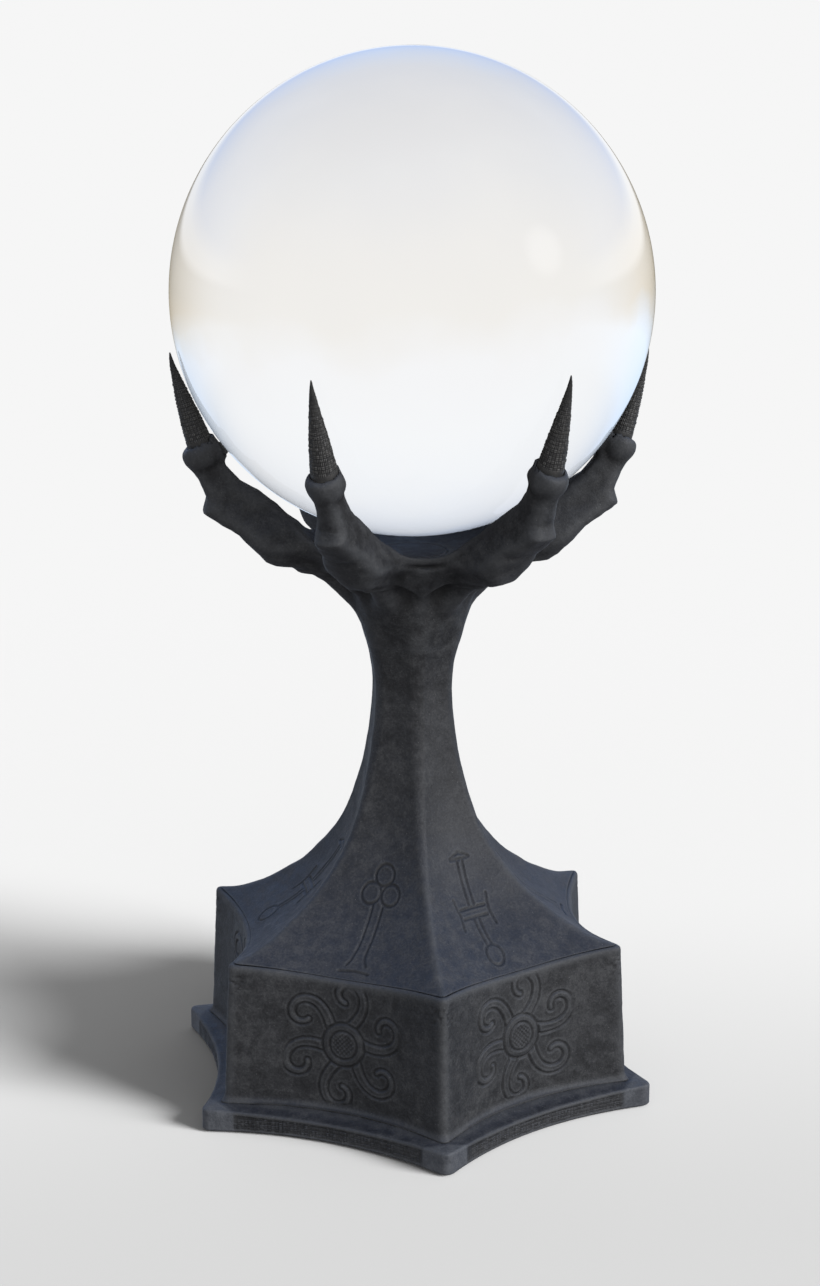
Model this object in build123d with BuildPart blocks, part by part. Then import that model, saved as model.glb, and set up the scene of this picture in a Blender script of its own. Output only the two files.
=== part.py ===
"""Crystal ball on a six-claw stand.

Millimetres, +Z up. The origin is the centre of the underside, on the supporting surface.
The stand has six corners, one at CORNER_AT and the rest every FACE_TURN degrees about Z.
Six faces and six claws stand midway between the corners, one of them towards +X.
"""
import os
from math import cos, radians, sin

from build123d import *

# ---------------------------------------------------------------- driving dimensions
SIDES = 6
FACE_TURN = 360 / SIDES
CORNER_AT = FACE_TURN / 2

# glass ball
BALL_RADIUS = 75.0
BALL_CENTRE_Z = 257.6
BALL_FIT_GAP = 0.05             # between the ball and the six pads it rests on

# felt pad and foot plate
PAD_THICKNESS = 1.5             # the pad stands proud of its pocket by PAD_THICKNESS - POCKET_DEPTH
POCKET_DEPTH = 1.0
PAD_INSET = 7.0
PAD_SIDE_GAP = 0.4
FOOT_TOP = 7.8
FOOT_CORNER = 82.8              # centre to corner
FOOT_HOLLOW = 6.7               # how far the middle of a side bows in
FOOT_CORNER_ROUND = 4.0
FOOT_BEVEL = 1.2
BOSS_RADIUS = 14.0              # raised boss in the middle of the foot plate
BOSS_TOP = 17.0

# plinth
PLINTH_TOP = 52.0
PLINTH_CORNER_LOW = 74.3
PLINTH_CORNER_HIGH = 72.1
PLINTH_HOLLOW = 7.4
PLINTH_CORNER_ROUND = 3.0
PLINTH_WALL = 6.0
POST_RADIUS = 6.5               # screw posts inside the plinth's corners
POST_TOP = 26.0
POST_AT = 60.5                  # centre to post axis

# column: the ridges run up from the corners of the plinth
COLUMN_TOP = 150.0              # joint between the column and the claw hand
RIDGE = [                       # (height, centre to ridge), skirt first
    (54.6, 64.0), (59.2, 53.2), (66.0, 42.8), (76.0, 32.0), (88.0, 23.6),
    (101.0, 18.6), (115.0, 15.4), (131.0, 13.8), (141.0, 14.8), (COLUMN_TOP, 17.4),
]
FACE_RATIO_SKIRT = 0.763        # centre to face / centre to ridge: hollow faces at the skirt
FACE_RATIO_NECK = 0.90          # and slightly round ones from the neck up
NECK_Z = 131.0
CORE = [(38.0, PLINTH_TOP), (30.0, 58.5), (22.0, 67.0), (15.5, 78.0), (10.5, 90.0), (8.0, 96.0)]

# claw hand
PALM = [                        # (height, centre to web, centre to finger root)
    (COLUMN_TOP, 17.4, 15.66), (156.0, 18.6, 18.8), (163.0, 21.6, 24.6),
    (169.0, 26.0, 29.5), (175.0, 30.4, 33.5), (181.0, 32.6, 36.0),
]
DISH_FLOOR_Z = 176.6
DISH = [(13.0, DISH_FLOOR_Z), (24.0, 177.9), (32.0, 181.2), (39.0, 188.8)]
FINGER = [                      # (radius, height, width, depth) along a finger's middle line
    (20.0, 170.0, 16.0, 16.0), (31.0, 176.6, 17.0, 16.5), (39.5, 180.8, 15.6, 16.6),
    (45.2, 184.6, 14.0, 15.0), (51.5, 189.8, 12.2, 13.6), (57.0, 194.6, 10.4, 12.4),
    (61.2, 199.6, 9.0, 10.8), (64.0, 204.2, 8.6, 9.4), (66.0, 208.2, 8.6, 8.8),
]
KNUCKLES = [(41.5, 179.2, 7.0), (57.6, 192.6, 4.6), (62.2, 192.4, 2.9)]   # (radius, height, own radius)
COLLAR_AT = (66.0, 208.9)       # radius and height of a finger's round collar
COLLAR_RADIUS = 5.9
BALL_CLEARANCE = 0.6            # least gap between the ball and the metal around it

# talons
TALON_LEAN = 21.0               # outward lean of a talon's root
TALON_ROOT = (66.6, 213.2)      # radius and height of the root's centre
TALON_ROOT_RADIUS = 4.1
TALON = [                       # (radius, height, own radius) above the root
    (69.0, 219.6, 3.4), (71.1, 226.0, 2.5), (73.1, 232.4, 1.5), (74.5, 237.4, 0.8), (75.0, 240.8, 0.3),
]
SPIGOT_RADIUS = 2.2
SPIGOT_LENGTH = 4.5
SOCKET_GAP = 0.05

# pads let into the collars, square to the ball
SEAT_PAD_DIRECTION = (64.9, -51.1)      # from the ball's centre: outwards, upwards
SEAT_PAD_RADIUS = 2.3
SEAT_PAD_BACK = 77.8            # ball centre to the floor of a pad's socket

# centre rod, nuts and washers
ROD_RADIUS = 4.0
ROD_BORE = 4.5
ROD_END_CHAMFER = 0.8
NUT_ACROSS_FLATS = 13.0
NUT_HEIGHT = 6.5
NUT_BORE = 4.05
NUT_CHAMFER = 0.6
WASHER_OUTER = 8.0
WASHER_BORE = 4.2
WASHER_THICKNESS = 1.6
RECESS_RADIUS = 9.4             # round recess for a nut and its washer
ROD_STAND_OUT = 0.7             # length of rod past each nut
TOP_RECESS_Z = 164.5            # floor of the recess in the palm
BOTTOM_RECESS_Z = 12.4          # ceiling of the recess in the foot plate
PLUG_RADIUS = 11.0              # plug that closes the palm's recess
PLUG_THICKNESS = 2.2

# dowels and screws
PIN_GAP = 0.05
HAND_DOWEL_RADIUS = 1.5
HAND_DOWEL_AT = 9.4
HAND_DOWEL_LENGTH = 10.0
COLUMN_DOWEL_RADIUS = 1.5
COLUMN_DOWEL_AT = 49.5
COLUMN_DOWEL_LENGTH = 7.0
SCREW_RADIUS = 2.0
SCREW_HEAD_RADIUS = 3.9
SCREW_HEAD_HEIGHT = 2.2
SCREW_LENGTH = 16.0
SCREW_SOCKET_RADIUS = 1.45
SCREW_SOCKET_DEPTH = 1.5
HOLE_END_GAP = 1.0              # extra depth of a blind hole past its pin or screw

# ---------------------------------------------------------------- worked-out sizes
FOOT_BOTTOM = PAD_THICKNESS - POCKET_DEPTH
POCKET_FLOOR = PAD_THICKNESS
STRAIGHT_RATIO = cos(radians(FACE_TURN / 2))     # centre to face / centre to corner of a straight side
TOP_NUT_Z = TOP_RECESS_Z + WASHER_THICKNESS
BOTTOM_NUT_Z = BOTTOM_RECESS_Z - WASHER_THICKNESS - NUT_HEIGHT
ROD_TOP = TOP_NUT_Z + NUT_HEIGHT + ROD_STAND_OUT
ROD_BOTTOM = BOTTOM_NUT_Z - ROD_STAND_OUT
PLUG_BOTTOM = DISH_FLOOR_Z - PLUG_THICKNESS
ABOVE_PALM = 200.0              # a height above the palm, for cuts that open upwards


# ---------------------------------------------------------------- shared shapes
def on_circle(radius, azimuth):
    return (radius * cos(radians(azimuth)), radius * sin(radians(azimuth)))


def six_sided(corner_radius, face_radius, corner_round=0.0):
    """Sketch of six corners joined by arcs through the face centres."""
    with BuildSketch(Plane.XY, mode=Mode.PRIVATE) as outline:
        with BuildLine():
            for side in range(SIDES):
                start = CORNER_AT + side * FACE_TURN
                ThreePointArc(
                    on_circle(corner_radius, start),
                    on_circle(face_radius, start + FACE_TURN / 2),
                    on_circle(corner_radius, start + FACE_TURN),
                )
        make_face()
        if corner_round:
            fillet(outline.vertices(), corner_round)
    return outline.sketch


def hollow_face(corner_radius, hollow):
    """Centre to the middle of a side that bows in by hollow."""
    return corner_radius * STRAIGHT_RATIO - hollow


def face_ratio(height):
    """Centre to face over centre to ridge, easing from the skirt to the neck."""
    along = min((height - PLINTH_TOP) / (NECK_Z - PLINTH_TOP), 1.0)
    eased = along * along * (3 - 2 * along)
    return FACE_RATIO_SKIRT + (FACE_RATIO_NECK - FACE_RATIO_SKIRT) * eased


def square_to_path(path, index):
    """Plane across a path of (radius, height, ...) points in the XZ plane, at one of its points."""
    before = path[max(index - 1, 0)]
    after = path[min(index + 1, len(path) - 1)]
    radius, height = path[index][0], path[index][1]
    return Plane(
        origin=(radius, 0, height),
        x_dir=(0, 1, 0),
        z_dir=(after[0] - before[0], 0, after[1] - before[1]),
    )


def save(piece, name):
    piece.part.label = name
    export_step(piece.part, f"parts/{name}.step")


os.makedirs("parts", exist_ok=True)
talon_root = Plane(
    origin=(TALON_ROOT[0], 0, TALON_ROOT[1]),
    x_dir=(0, 1, 0),
    z_dir=(sin(radians(TALON_LEAN)), 0, cos(radians(TALON_LEAN))),
)
seat_pad_plane = Plane(
    origin=(0, 0, BALL_CENTRE_Z),
    x_dir=(0, 1, 0),
    z_dir=(SEAT_PAD_DIRECTION[0], 0, SEAT_PAD_DIRECTION[1]),
)

# ---------------------------------------------------------------- crystal ball
with BuildPart() as crystal_ball:
    with Locations((0, 0, BALL_CENTRE_Z)):
        Sphere(BALL_RADIUS)
save(crystal_ball, "crystal_ball")

# ---------------------------------------------------------------- seat pads
with BuildPart() as seat_pad:
    with BuildSketch(seat_pad_plane.offset(SEAT_PAD_BACK)):
        Circle(SEAT_PAD_RADIUS)
    extrude(amount=-(SEAT_PAD_BACK - BALL_RADIUS + SEAT_PAD_RADIUS / 2))
    with Locations((0, 0, BALL_CENTRE_Z)):
        Sphere(BALL_RADIUS + BALL_FIT_GAP, mode=Mode.SUBTRACT)

with BuildPart() as seat_pads:
    with PolarLocations(0, SIDES):
        add(seat_pad.part)
save(seat_pads, "seat_pads")

# ---------------------------------------------------------------- talons
with BuildPart() as talon:
    path = [(*TALON_ROOT, TALON_ROOT_RADIUS), *TALON]
    with BuildSketch(talon_root):
        Circle(TALON_ROOT_RADIUS)
    for index in range(1, len(path)):
        with BuildSketch(square_to_path(path, index)):
            Circle(path[index][2])
    loft()
    with BuildSketch(talon_root):
        Circle(SPIGOT_RADIUS)
    extrude(amount=-SPIGOT_LENGTH)
    with Locations((0, 0, BALL_CENTRE_Z)):
        Sphere(BALL_RADIUS + BALL_CLEARANCE, mode=Mode.SUBTRACT)

for index in range(SIDES):
    with BuildPart() as placed_talon:
        with Locations(Rotation(0, 0, index * FACE_TURN)):
            add(talon.part)
    save(placed_talon, f"talon_{index + 1}")

# ---------------------------------------------------------------- claw hand
with BuildPart() as finger:
    for index, (_, _, width, depth) in enumerate(FINGER):
        with BuildSketch(square_to_path(FINGER, index)):
            Ellipse(width / 2, depth / 2)
    loft()
    for radius, height, own_radius in KNUCKLES:
        with Locations((radius, 0, height)):
            Sphere(own_radius)
    with Locations((COLLAR_AT[0], 0, COLLAR_AT[1])):
        Sphere(COLLAR_RADIUS)
    with BuildSketch(talon_root):
        Circle(TALON_ROOT_RADIUS + SOCKET_GAP)
    extrude(amount=COLLAR_RADIUS, mode=Mode.SUBTRACT)
    with BuildSketch(talon_root):
        Circle(SPIGOT_RADIUS + SOCKET_GAP)
    extrude(amount=-(SPIGOT_LENGTH + SOCKET_GAP), mode=Mode.SUBTRACT)
    with BuildSketch(seat_pad_plane.offset(SEAT_PAD_BACK)):
        Circle(SEAT_PAD_RADIUS + SOCKET_GAP)
    extrude(amount=-COLLAR_RADIUS, mode=Mode.SUBTRACT)

with BuildPart() as claw_hand:
    for height, web_radius, root_radius in PALM:
        with BuildSketch(Plane.XY.offset(height)):
            add(six_sided(web_radius, root_radius))
    loft()
    with PolarLocations(0, SIDES):
        add(finger.part)
    # the dish under the ball
    with BuildSketch(Plane.XZ):
        with BuildLine():
            bowl = Spline(*DISH)
            Polyline(bowl @ 1, (DISH[-1][0], ABOVE_PALM), (0, ABOVE_PALM), (0, DISH_FLOOR_Z), bowl @ 0)
        make_face()
    revolve(axis=Axis.Z, mode=Mode.SUBTRACT)
    with Locations((0, 0, BALL_CENTRE_Z)):
        Sphere(BALL_RADIUS + BALL_CLEARANCE, mode=Mode.SUBTRACT)
    # rod bore, nut recess and the seat of the plug that covers it
    with Locations(Plane.XY.offset(COLUMN_TOP)):
        Cylinder(ROD_BORE, TOP_RECESS_Z - COLUMN_TOP, align=(Align.CENTER, Align.CENTER, Align.MIN),
                 mode=Mode.SUBTRACT)
    with Locations(Plane.XY.offset(TOP_RECESS_Z)):
        Cylinder(RECESS_RADIUS, PLUG_BOTTOM - TOP_RECESS_Z, align=(Align.CENTER, Align.CENTER, Align.MIN),
                 mode=Mode.SUBTRACT)
    with Locations(Plane.XY.offset(PLUG_BOTTOM)):
        Cylinder(PLUG_RADIUS + PIN_GAP, PLUG_THICKNESS, align=(Align.CENTER, Align.CENTER, Align.MIN),
                 mode=Mode.SUBTRACT)
    with BuildSketch(Plane.XY.offset(COLUMN_TOP)):
        with PolarLocations(HAND_DOWEL_AT, 2):
            Circle(HAND_DOWEL_RADIUS + PIN_GAP)
    extrude(amount=HAND_DOWEL_LENGTH / 2 + HOLE_END_GAP, mode=Mode.SUBTRACT)
save(claw_hand, "claw_hand")

with BuildPart() as palm_plug:
    with BuildSketch(Plane.XY.offset(PLUG_BOTTOM)):
        Circle(PLUG_RADIUS)
    extrude(amount=PLUG_THICKNESS)
    chamfer(palm_plug.edges().group_by(Axis.Z)[-1], PLUG_THICKNESS / 8)
save(palm_plug, "palm_plug")

# ---------------------------------------------------------------- column
with BuildPart() as column:
    for height, ridge_radius in [(PLINTH_TOP, PLINTH_CORNER_HIGH), *RIDGE]:
        with BuildSketch(Plane.XY.offset(height)):
            add(six_sided(ridge_radius, ridge_radius * face_ratio(height)))
    loft()
    with BuildSketch(Plane.XZ):
        with BuildLine():
            core_wall = Spline(*CORE)
            Polyline(core_wall @ 1, (0, CORE[-1][1]), (0, PLINTH_TOP), core_wall @ 0)
        make_face()
    revolve(axis=Axis.Z, mode=Mode.SUBTRACT)
    with BuildSketch(Plane.XY.offset(PLINTH_TOP)):
        Circle(ROD_BORE)
    extrude(amount=COLUMN_TOP - PLINTH_TOP, mode=Mode.SUBTRACT)
    with BuildSketch(Plane.XY.offset(COLUMN_TOP)):
        with PolarLocations(HAND_DOWEL_AT, 2):
            Circle(HAND_DOWEL_RADIUS + PIN_GAP)
    extrude(amount=-(HAND_DOWEL_LENGTH / 2 + HOLE_END_GAP), mode=Mode.SUBTRACT)
    with BuildSketch(Plane.XY.offset(PLINTH_TOP)):
        with PolarLocations(COLUMN_DOWEL_AT, 2, start_angle=CORNER_AT):
            Circle(COLUMN_DOWEL_RADIUS + PIN_GAP)
    extrude(amount=COLUMN_DOWEL_LENGTH / 2 + SOCKET_GAP, mode=Mode.SUBTRACT)
save(column, "column")

# ---------------------------------------------------------------- plinth
with BuildPart() as plinth:
    for height, corner_radius in [(FOOT_TOP, PLINTH_CORNER_LOW), (PLINTH_TOP, PLINTH_CORNER_HIGH)]:
        with BuildSketch(Plane.XY.offset(height)):
            add(six_sided(corner_radius, hollow_face(corner_radius, PLINTH_HOLLOW), PLINTH_CORNER_ROUND))
    loft()
    inner_corner = PLINTH_CORNER_HIGH - PLINTH_WALL / STRAIGHT_RATIO
    with BuildSketch(Plane.XY.offset(FOOT_TOP)):
        add(six_sided(inner_corner, hollow_face(inner_corner, PLINTH_HOLLOW)))
    extrude(amount=PLINTH_TOP - PLINTH_WALL - FOOT_TOP, mode=Mode.SUBTRACT)
    with BuildSketch(Plane.XY.offset(FOOT_TOP)):
        with PolarLocations(POST_AT, SIDES, start_angle=CORNER_AT):
            Circle(POST_RADIUS)
    extrude(amount=POST_TOP - FOOT_TOP)
    with BuildSketch(Plane.XY.offset(FOOT_TOP)):
        with PolarLocations(POST_AT, SIDES, start_angle=CORNER_AT):
            Circle(SCREW_RADIUS + PIN_GAP)
    extrude(amount=POCKET_FLOOR + SCREW_LENGTH + HOLE_END_GAP - FOOT_TOP, mode=Mode.SUBTRACT)
    with BuildSketch(Plane.XY.offset(PLINTH_TOP)):
        Circle(ROD_BORE)
    extrude(amount=-PLINTH_WALL, mode=Mode.SUBTRACT)
    with BuildSketch(Plane.XY.offset(PLINTH_TOP)):
        with PolarLocations(COLUMN_DOWEL_AT, 2, start_angle=CORNER_AT):
            Circle(COLUMN_DOWEL_RADIUS + PIN_GAP)
    extrude(amount=-(COLUMN_DOWEL_LENGTH / 2 + HOLE_END_GAP), mode=Mode.SUBTRACT)
save(plinth, "plinth")

# ---------------------------------------------------------------- foot plate
with BuildPart() as foot_plate:
    with BuildSketch(Plane.XY.offset(FOOT_BOTTOM)):
        add(six_sided(FOOT_CORNER, hollow_face(FOOT_CORNER, FOOT_HOLLOW), FOOT_CORNER_ROUND))
    extrude(amount=FOOT_TOP - FOOT_BOTTOM)
    chamfer(foot_plate.edges().group_by(Axis.Z)[-1], FOOT_BEVEL)
    with BuildSketch(Plane.XY.offset(FOOT_TOP)):
        Circle(BOSS_RADIUS)
    extrude(amount=BOSS_TOP - FOOT_TOP)
    with BuildSketch(Plane.XY.offset(FOOT_BOTTOM)):
        add(six_sided(FOOT_CORNER - PAD_INSET, hollow_face(FOOT_CORNER, FOOT_HOLLOW) - PAD_INSET))
    extrude(amount=POCKET_DEPTH, mode=Mode.SUBTRACT)
    with BuildSketch(Plane.XY.offset(POCKET_FLOOR)):
        Circle(RECESS_RADIUS)
    extrude(amount=BOTTOM_RECESS_Z - POCKET_FLOOR, mode=Mode.SUBTRACT)
    with BuildSketch(Plane.XY.offset(BOTTOM_RECESS_Z)):
        Circle(ROD_BORE)
    extrude(amount=BOSS_TOP - BOTTOM_RECESS_Z, mode=Mode.SUBTRACT)
    with BuildSketch(Plane.XY.offset(POCKET_FLOOR)):
        with PolarLocations(POST_AT, SIDES, start_angle=CORNER_AT):
            Circle(SCREW_RADIUS + PIN_GAP)
    extrude(amount=FOOT_TOP - POCKET_FLOOR, mode=Mode.SUBTRACT)
    with Locations(Plane.XY.offset(POCKET_FLOOR)):
        with PolarLocations(POST_AT, SIDES, start_angle=CORNER_AT):
            Cone(SCREW_HEAD_RADIUS + PIN_GAP, SCREW_RADIUS + PIN_GAP, SCREW_HEAD_HEIGHT,
                 align=(Align.CENTER, Align.CENTER, Align.MIN), mode=Mode.SUBTRACT)
save(foot_plate, "foot_plate")

with BuildPart() as base_pad:
    inset = PAD_INSET + PAD_SIDE_GAP
    with BuildSketch(Plane.XY):
        add(six_sided(FOOT_CORNER - inset, hollow_face(FOOT_CORNER, FOOT_HOLLOW) - inset))
    extrude(amount=PAD_THICKNESS)
save(base_pad, "base_pad")

# ---------------------------------------------------------------- centre rod, nuts and washers
with BuildPart() as tie_rod:
    with BuildSketch(Plane.XY.offset(ROD_BOTTOM)):
        Circle(ROD_RADIUS)
    extrude(amount=ROD_TOP - ROD_BOTTOM)
    chamfer(tie_rod.edges().filter_by(GeomType.CIRCLE), ROD_END_CHAMFER)
save(tie_rod, "tie_rod")

for name, nut_z in (("top_nut", TOP_NUT_Z), ("bottom_nut", BOTTOM_NUT_Z)):
    with BuildPart() as nut:
        with BuildSketch(Plane.XY.offset(nut_z)):
            RegularPolygon(NUT_ACROSS_FLATS / 2, SIDES, major_radius=False)
        extrude(amount=NUT_HEIGHT)
        with BuildSketch(Plane.XY.offset(nut_z)):
            Circle(NUT_BORE)
        extrude(amount=NUT_HEIGHT, mode=Mode.SUBTRACT)
        chamfer(nut.edges().filter_by(GeomType.CIRCLE), NUT_CHAMFER)
    save(nut, name)

for name, washer_z in (("top_washer", TOP_RECESS_Z), ("bottom_washer", BOTTOM_RECESS_Z - WASHER_THICKNESS)):
    with BuildPart() as washer:
        with BuildSketch(Plane.XY.offset(washer_z)):
            Circle(WASHER_OUTER)
            Circle(WASHER_BORE, mode=Mode.SUBTRACT)
        extrude(amount=WASHER_THICKNESS)
    save(washer, name)

# ---------------------------------------------------------------- dowels
for name, radius, length, joint_z, pitch_radius, start in (
    ("hand_dowels", HAND_DOWEL_RADIUS, HAND_DOWEL_LENGTH, COLUMN_TOP, HAND_DOWEL_AT, 0),
    ("column_dowels", COLUMN_DOWEL_RADIUS, COLUMN_DOWEL_LENGTH, PLINTH_TOP, COLUMN_DOWEL_AT, CORNER_AT),
):
    with BuildPart() as dowels:
        with BuildSketch(Plane.XY.offset(joint_z - length / 2)):
            with PolarLocations(pitch_radius, 2, start_angle=start):
                Circle(radius)
        extrude(amount=length)
        chamfer(dowels.edges().filter_by(GeomType.CIRCLE), radius / 4)
    save(dowels, name)

# ---------------------------------------------------------------- foot screws
with BuildPart() as foot_screw:
    with BuildSketch(Plane.XZ):
        with BuildLine():
            Polyline(
                (0, 0), (SCREW_HEAD_RADIUS, 0), (SCREW_RADIUS, SCREW_HEAD_HEIGHT),
                (SCREW_RADIUS, SCREW_LENGTH - SCREW_RADIUS / 2), (SCREW_RADIUS / 2, SCREW_LENGTH),
                (0, SCREW_LENGTH), close=True,
            )
        make_face()
    revolve(axis=Axis.Z)
    with BuildSketch(Plane.XY):
        RegularPolygon(SCREW_SOCKET_RADIUS, SIDES)
    extrude(amount=SCREW_SOCKET_DEPTH, mode=Mode.SUBTRACT)

with BuildPart() as foot_screws:
    with Locations(Plane.XY.offset(POCKET_FLOOR)):
        with PolarLocations(POST_AT, SIDES, start_angle=CORNER_AT):
            add(foot_screw.part)
save(foot_screws, "foot_screws")
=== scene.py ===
"""Looks of the crystal ball on its six-claw stand.

Shapes are worked out in millimetres in the frame of the CAD model and turned into metres when a mesh is made.
Six corners stand at -90, -30, 30 ... degrees about Z; six faces and six claws stand midway between them.
"""

import math

import bmesh
import bpy
import numpy as np
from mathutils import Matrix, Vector


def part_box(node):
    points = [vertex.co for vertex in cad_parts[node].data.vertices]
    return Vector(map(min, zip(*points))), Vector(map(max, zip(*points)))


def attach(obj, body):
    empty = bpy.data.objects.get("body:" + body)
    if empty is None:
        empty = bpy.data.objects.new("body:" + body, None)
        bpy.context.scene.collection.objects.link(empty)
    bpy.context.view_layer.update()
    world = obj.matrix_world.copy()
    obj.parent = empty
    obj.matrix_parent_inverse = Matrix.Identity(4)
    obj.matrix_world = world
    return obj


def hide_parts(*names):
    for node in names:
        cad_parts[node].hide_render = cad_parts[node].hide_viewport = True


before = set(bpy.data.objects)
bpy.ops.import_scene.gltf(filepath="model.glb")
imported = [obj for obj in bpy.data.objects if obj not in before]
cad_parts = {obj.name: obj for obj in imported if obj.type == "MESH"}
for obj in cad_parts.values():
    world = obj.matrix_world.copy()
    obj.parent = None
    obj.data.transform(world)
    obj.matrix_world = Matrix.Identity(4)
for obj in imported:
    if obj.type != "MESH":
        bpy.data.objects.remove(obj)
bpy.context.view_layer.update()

# ---------------------------------------------------------------- driving dimensions, millimetres
MM = 0.001
SIDES = 6
TURN = 2 * math.pi / SIDES
FINE = 1.0       # mesh spacing factor: coarse while trying things


def cad_box(node):
    """Lowest and highest corner of a CAD node in millimetres."""
    low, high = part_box(node)
    return np.array(low) / MM, np.array(high) / MM


ball_low, ball_high = cad_box("crystal_ball")
foot_low, foot_high = cad_box("foot_plate")
plinth_low, plinth_high = cad_box("plinth")
hand_low, hand_high = cad_box("claw_hand")
plug_low, plug_high = cad_box("palm_plug")

BALL_CENTRE = (ball_low + ball_high) / 2
BALL_RADIUS = (ball_high[2] - ball_low[2]) / 2
FOOT_BOTTOM = foot_low[2]
FOOT_TOP = plinth_low[2]
BOSS_TOP = foot_high[2]
PLINTH_TOP = plinth_high[2]
COLUMN_TOP = cad_box("column")[1][2]
PAD_TOP = cad_box("base_pad")[1][2]
PALM_RECESS_FLOOR = cad_box("top_washer")[0][2]
FOOT_RECESS_TOP = cad_box("bottom_washer")[1][2]

FOOT_CORNER = 82.8              # corners and faces are measured from the axis
FOOT_FACE = 65.0
FOOT_SOFT = 6.0                 # soft is the blend that rounds upright corners
PLINTH_CORNER_LOW = 74.3
PLINTH_CORNER_HIGH = 72.1
PLINTH_FACE_LOW = 57.0
PLINTH_FACE_HIGH = 55.0
PLINTH_WALL = 6.0
PLINTH_SOFT = 6.0
PLINTH_FLARE = 1.5              # the plinth's foot spreads this far onto the foot plate
RIM_CORNER_Z = 53.4             # top edge of the plinth at a corner
RIM_FACE_Z = 50.6               # and midway between corners
POST_AT = 60.5                  # screw posts inside the plinth's corners
POST_RADIUS = 6.5
POST_TOP = 26.0
BOSS_RADIUS = 14.0              # raised boss in the middle of the foot plate
ROD_BORE = 4.5
RECESS_RADIUS = 9.4             # round recess for a nut and its washer
FAR = 1e9                       # a distance that any real one beats


# ---------------------------------------------------------------- small maths
def ease(x):
    """Smooth step from 0 to 1 for x from 0 to 1."""
    x = np.clip(x, 0.0, 1.0)
    return x * x * (3 - 2 * x)


def soft_min(a, b, blend):
    """The smaller of two values, rounded where they are closer than blend."""
    h = np.maximum(blend - np.abs(a - b), 0.0) / blend
    return np.minimum(a, b) - h * h * blend / 4


def soft_max(a, b, blend):
    return -soft_min(-a, -b, blend)


def noise(points, size, seed):
    """Smooth noise in -1 to 1 that varies over about size millimetres."""
    lattice = np.random.default_rng(seed).uniform(-1, 1, (32, 32, 32)).astype(np.float32)
    p = np.asarray(points) / size
    cell = np.floor(p).astype(np.int64)
    f = (p - cell).astype(np.float32)
    f = f * f * (3 - 2 * f)
    total = 0
    for corner in range(8):
        step = np.array([(corner >> k) & 1 for k in range(3)])
        weight = np.prod(np.where(step, f, 1 - f), axis=-1)
        i, j, k = np.moveaxis((cell + step) % 32, -1, 0)
        total = total + weight * lattice[i, j, k]
    return total


def curve_through(points, spacing):
    """Points about spacing apart along a Catmull-Rom curve through the given points."""
    p = np.array(points, float)
    p = np.vstack([2 * p[0] - p[1], p, 2 * p[-1] - p[-2]])
    out = []
    for a, b, c, d in zip(p[:-3], p[1:-2], p[2:-1], p[3:]):
        count = max(2, int(np.linalg.norm((c - b)[:2]) / spacing))
        t = np.linspace(0, 1, count, endpoint=False)[:, None]
        out.append(0.5 * (2 * b + (c - a) * t + (2 * a - 5 * b + 4 * c - d) * t ** 2
                          + (3 * b - a - 3 * c + d) * t ** 3))
    return np.vstack([*out, p[-2:-1]])


def length_along(points):
    """How far along a row of points each of them is."""
    return np.concatenate([[0], np.cumsum(np.linalg.norm(np.diff(points, axis=0), axis=1))])


class Table:
    """A function of two coordinates, worked out once on a grid and then read between its points."""

    def __init__(self, function, low, high, spacing):
        self.low, self.spacing = np.array(low, float), spacing
        axes = [np.arange(a, b + spacing, spacing) for a, b in zip(low, high)]
        self.values = function(*np.meshgrid(*axes, indexing="ij")).astype(np.float32)

    def __call__(self, u, v):
        limit = np.array(self.values.shape) - 1.001
        x = np.clip((u - self.low[0]) / self.spacing, 0, limit[0])
        y = np.clip((v - self.low[1]) / self.spacing, 0, limit[1])
        i, j = x.astype(np.int64), y.astype(np.int64)
        x, y = x - i, y - j
        t = self.values
        return (t[i, j] * (1 - x) * (1 - y) + t[i + 1, j] * x * (1 - y)
                + t[i, j + 1] * (1 - x) * y + t[i + 1, j + 1] * x * y)


def turned(points, turn):
    """Points turned about Z."""
    x, y, z = np.moveaxis(points, -1, 0)
    return np.stack([x * math.cos(turn) - y * math.sin(turn), x * math.sin(turn) + y * math.cos(turn), z], -1)


def distance_to_path(u, v, path):
    """Distance from (u, v) to an open path, and how far along it the nearest point is (0 to 1)."""
    best = np.full(np.shape(u), FAR)
    along = np.zeros(np.shape(u))
    travelled = length_along(path)
    for index, (a, b) in enumerate(zip(path[:-1], path[1:])):
        d = b - a
        t = np.clip(((u - a[0]) * d[0] + (v - a[1]) * d[1]) / (d @ d), 0, 1)
        gap = np.hypot(u - a[0] - t * d[0], v - a[1] - t * d[1])
        nearer = gap < best
        best = np.where(nearer, gap, best)
        place = (travelled[index] + t * (travelled[index + 1] - travelled[index])) / travelled[-1]
        along = np.where(nearer, place, along)
    return best, along


def distance_to_outline(u, v, outline):
    """Signed distance from (u, v) to a closed outline, negative inside."""
    loop = np.vstack([outline, outline[:1]])
    gap, _ = distance_to_path(u, v, loop)
    inside = np.zeros(np.shape(u), bool)
    for a, b in zip(loop[:-1], loop[1:]):
        crosses = (a[1] > v) != (b[1] > v)
        height = b[1] - a[1] if b[1] != a[1] else 1e-9
        inside ^= crosses & (u < (b[0] - a[0]) * (v - a[1]) / height + a[0])
    return np.where(inside, -gap, gap)


# ---------------------------------------------------------------- meshes
WEAR_REACH = 12                 # a vertex is compared with its place after this many smoothing passes
WEAR_GAIN = 4.0                 # full wear or sunk depth at 1 / WEAR_GAIN mm above or below its surroundings


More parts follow.
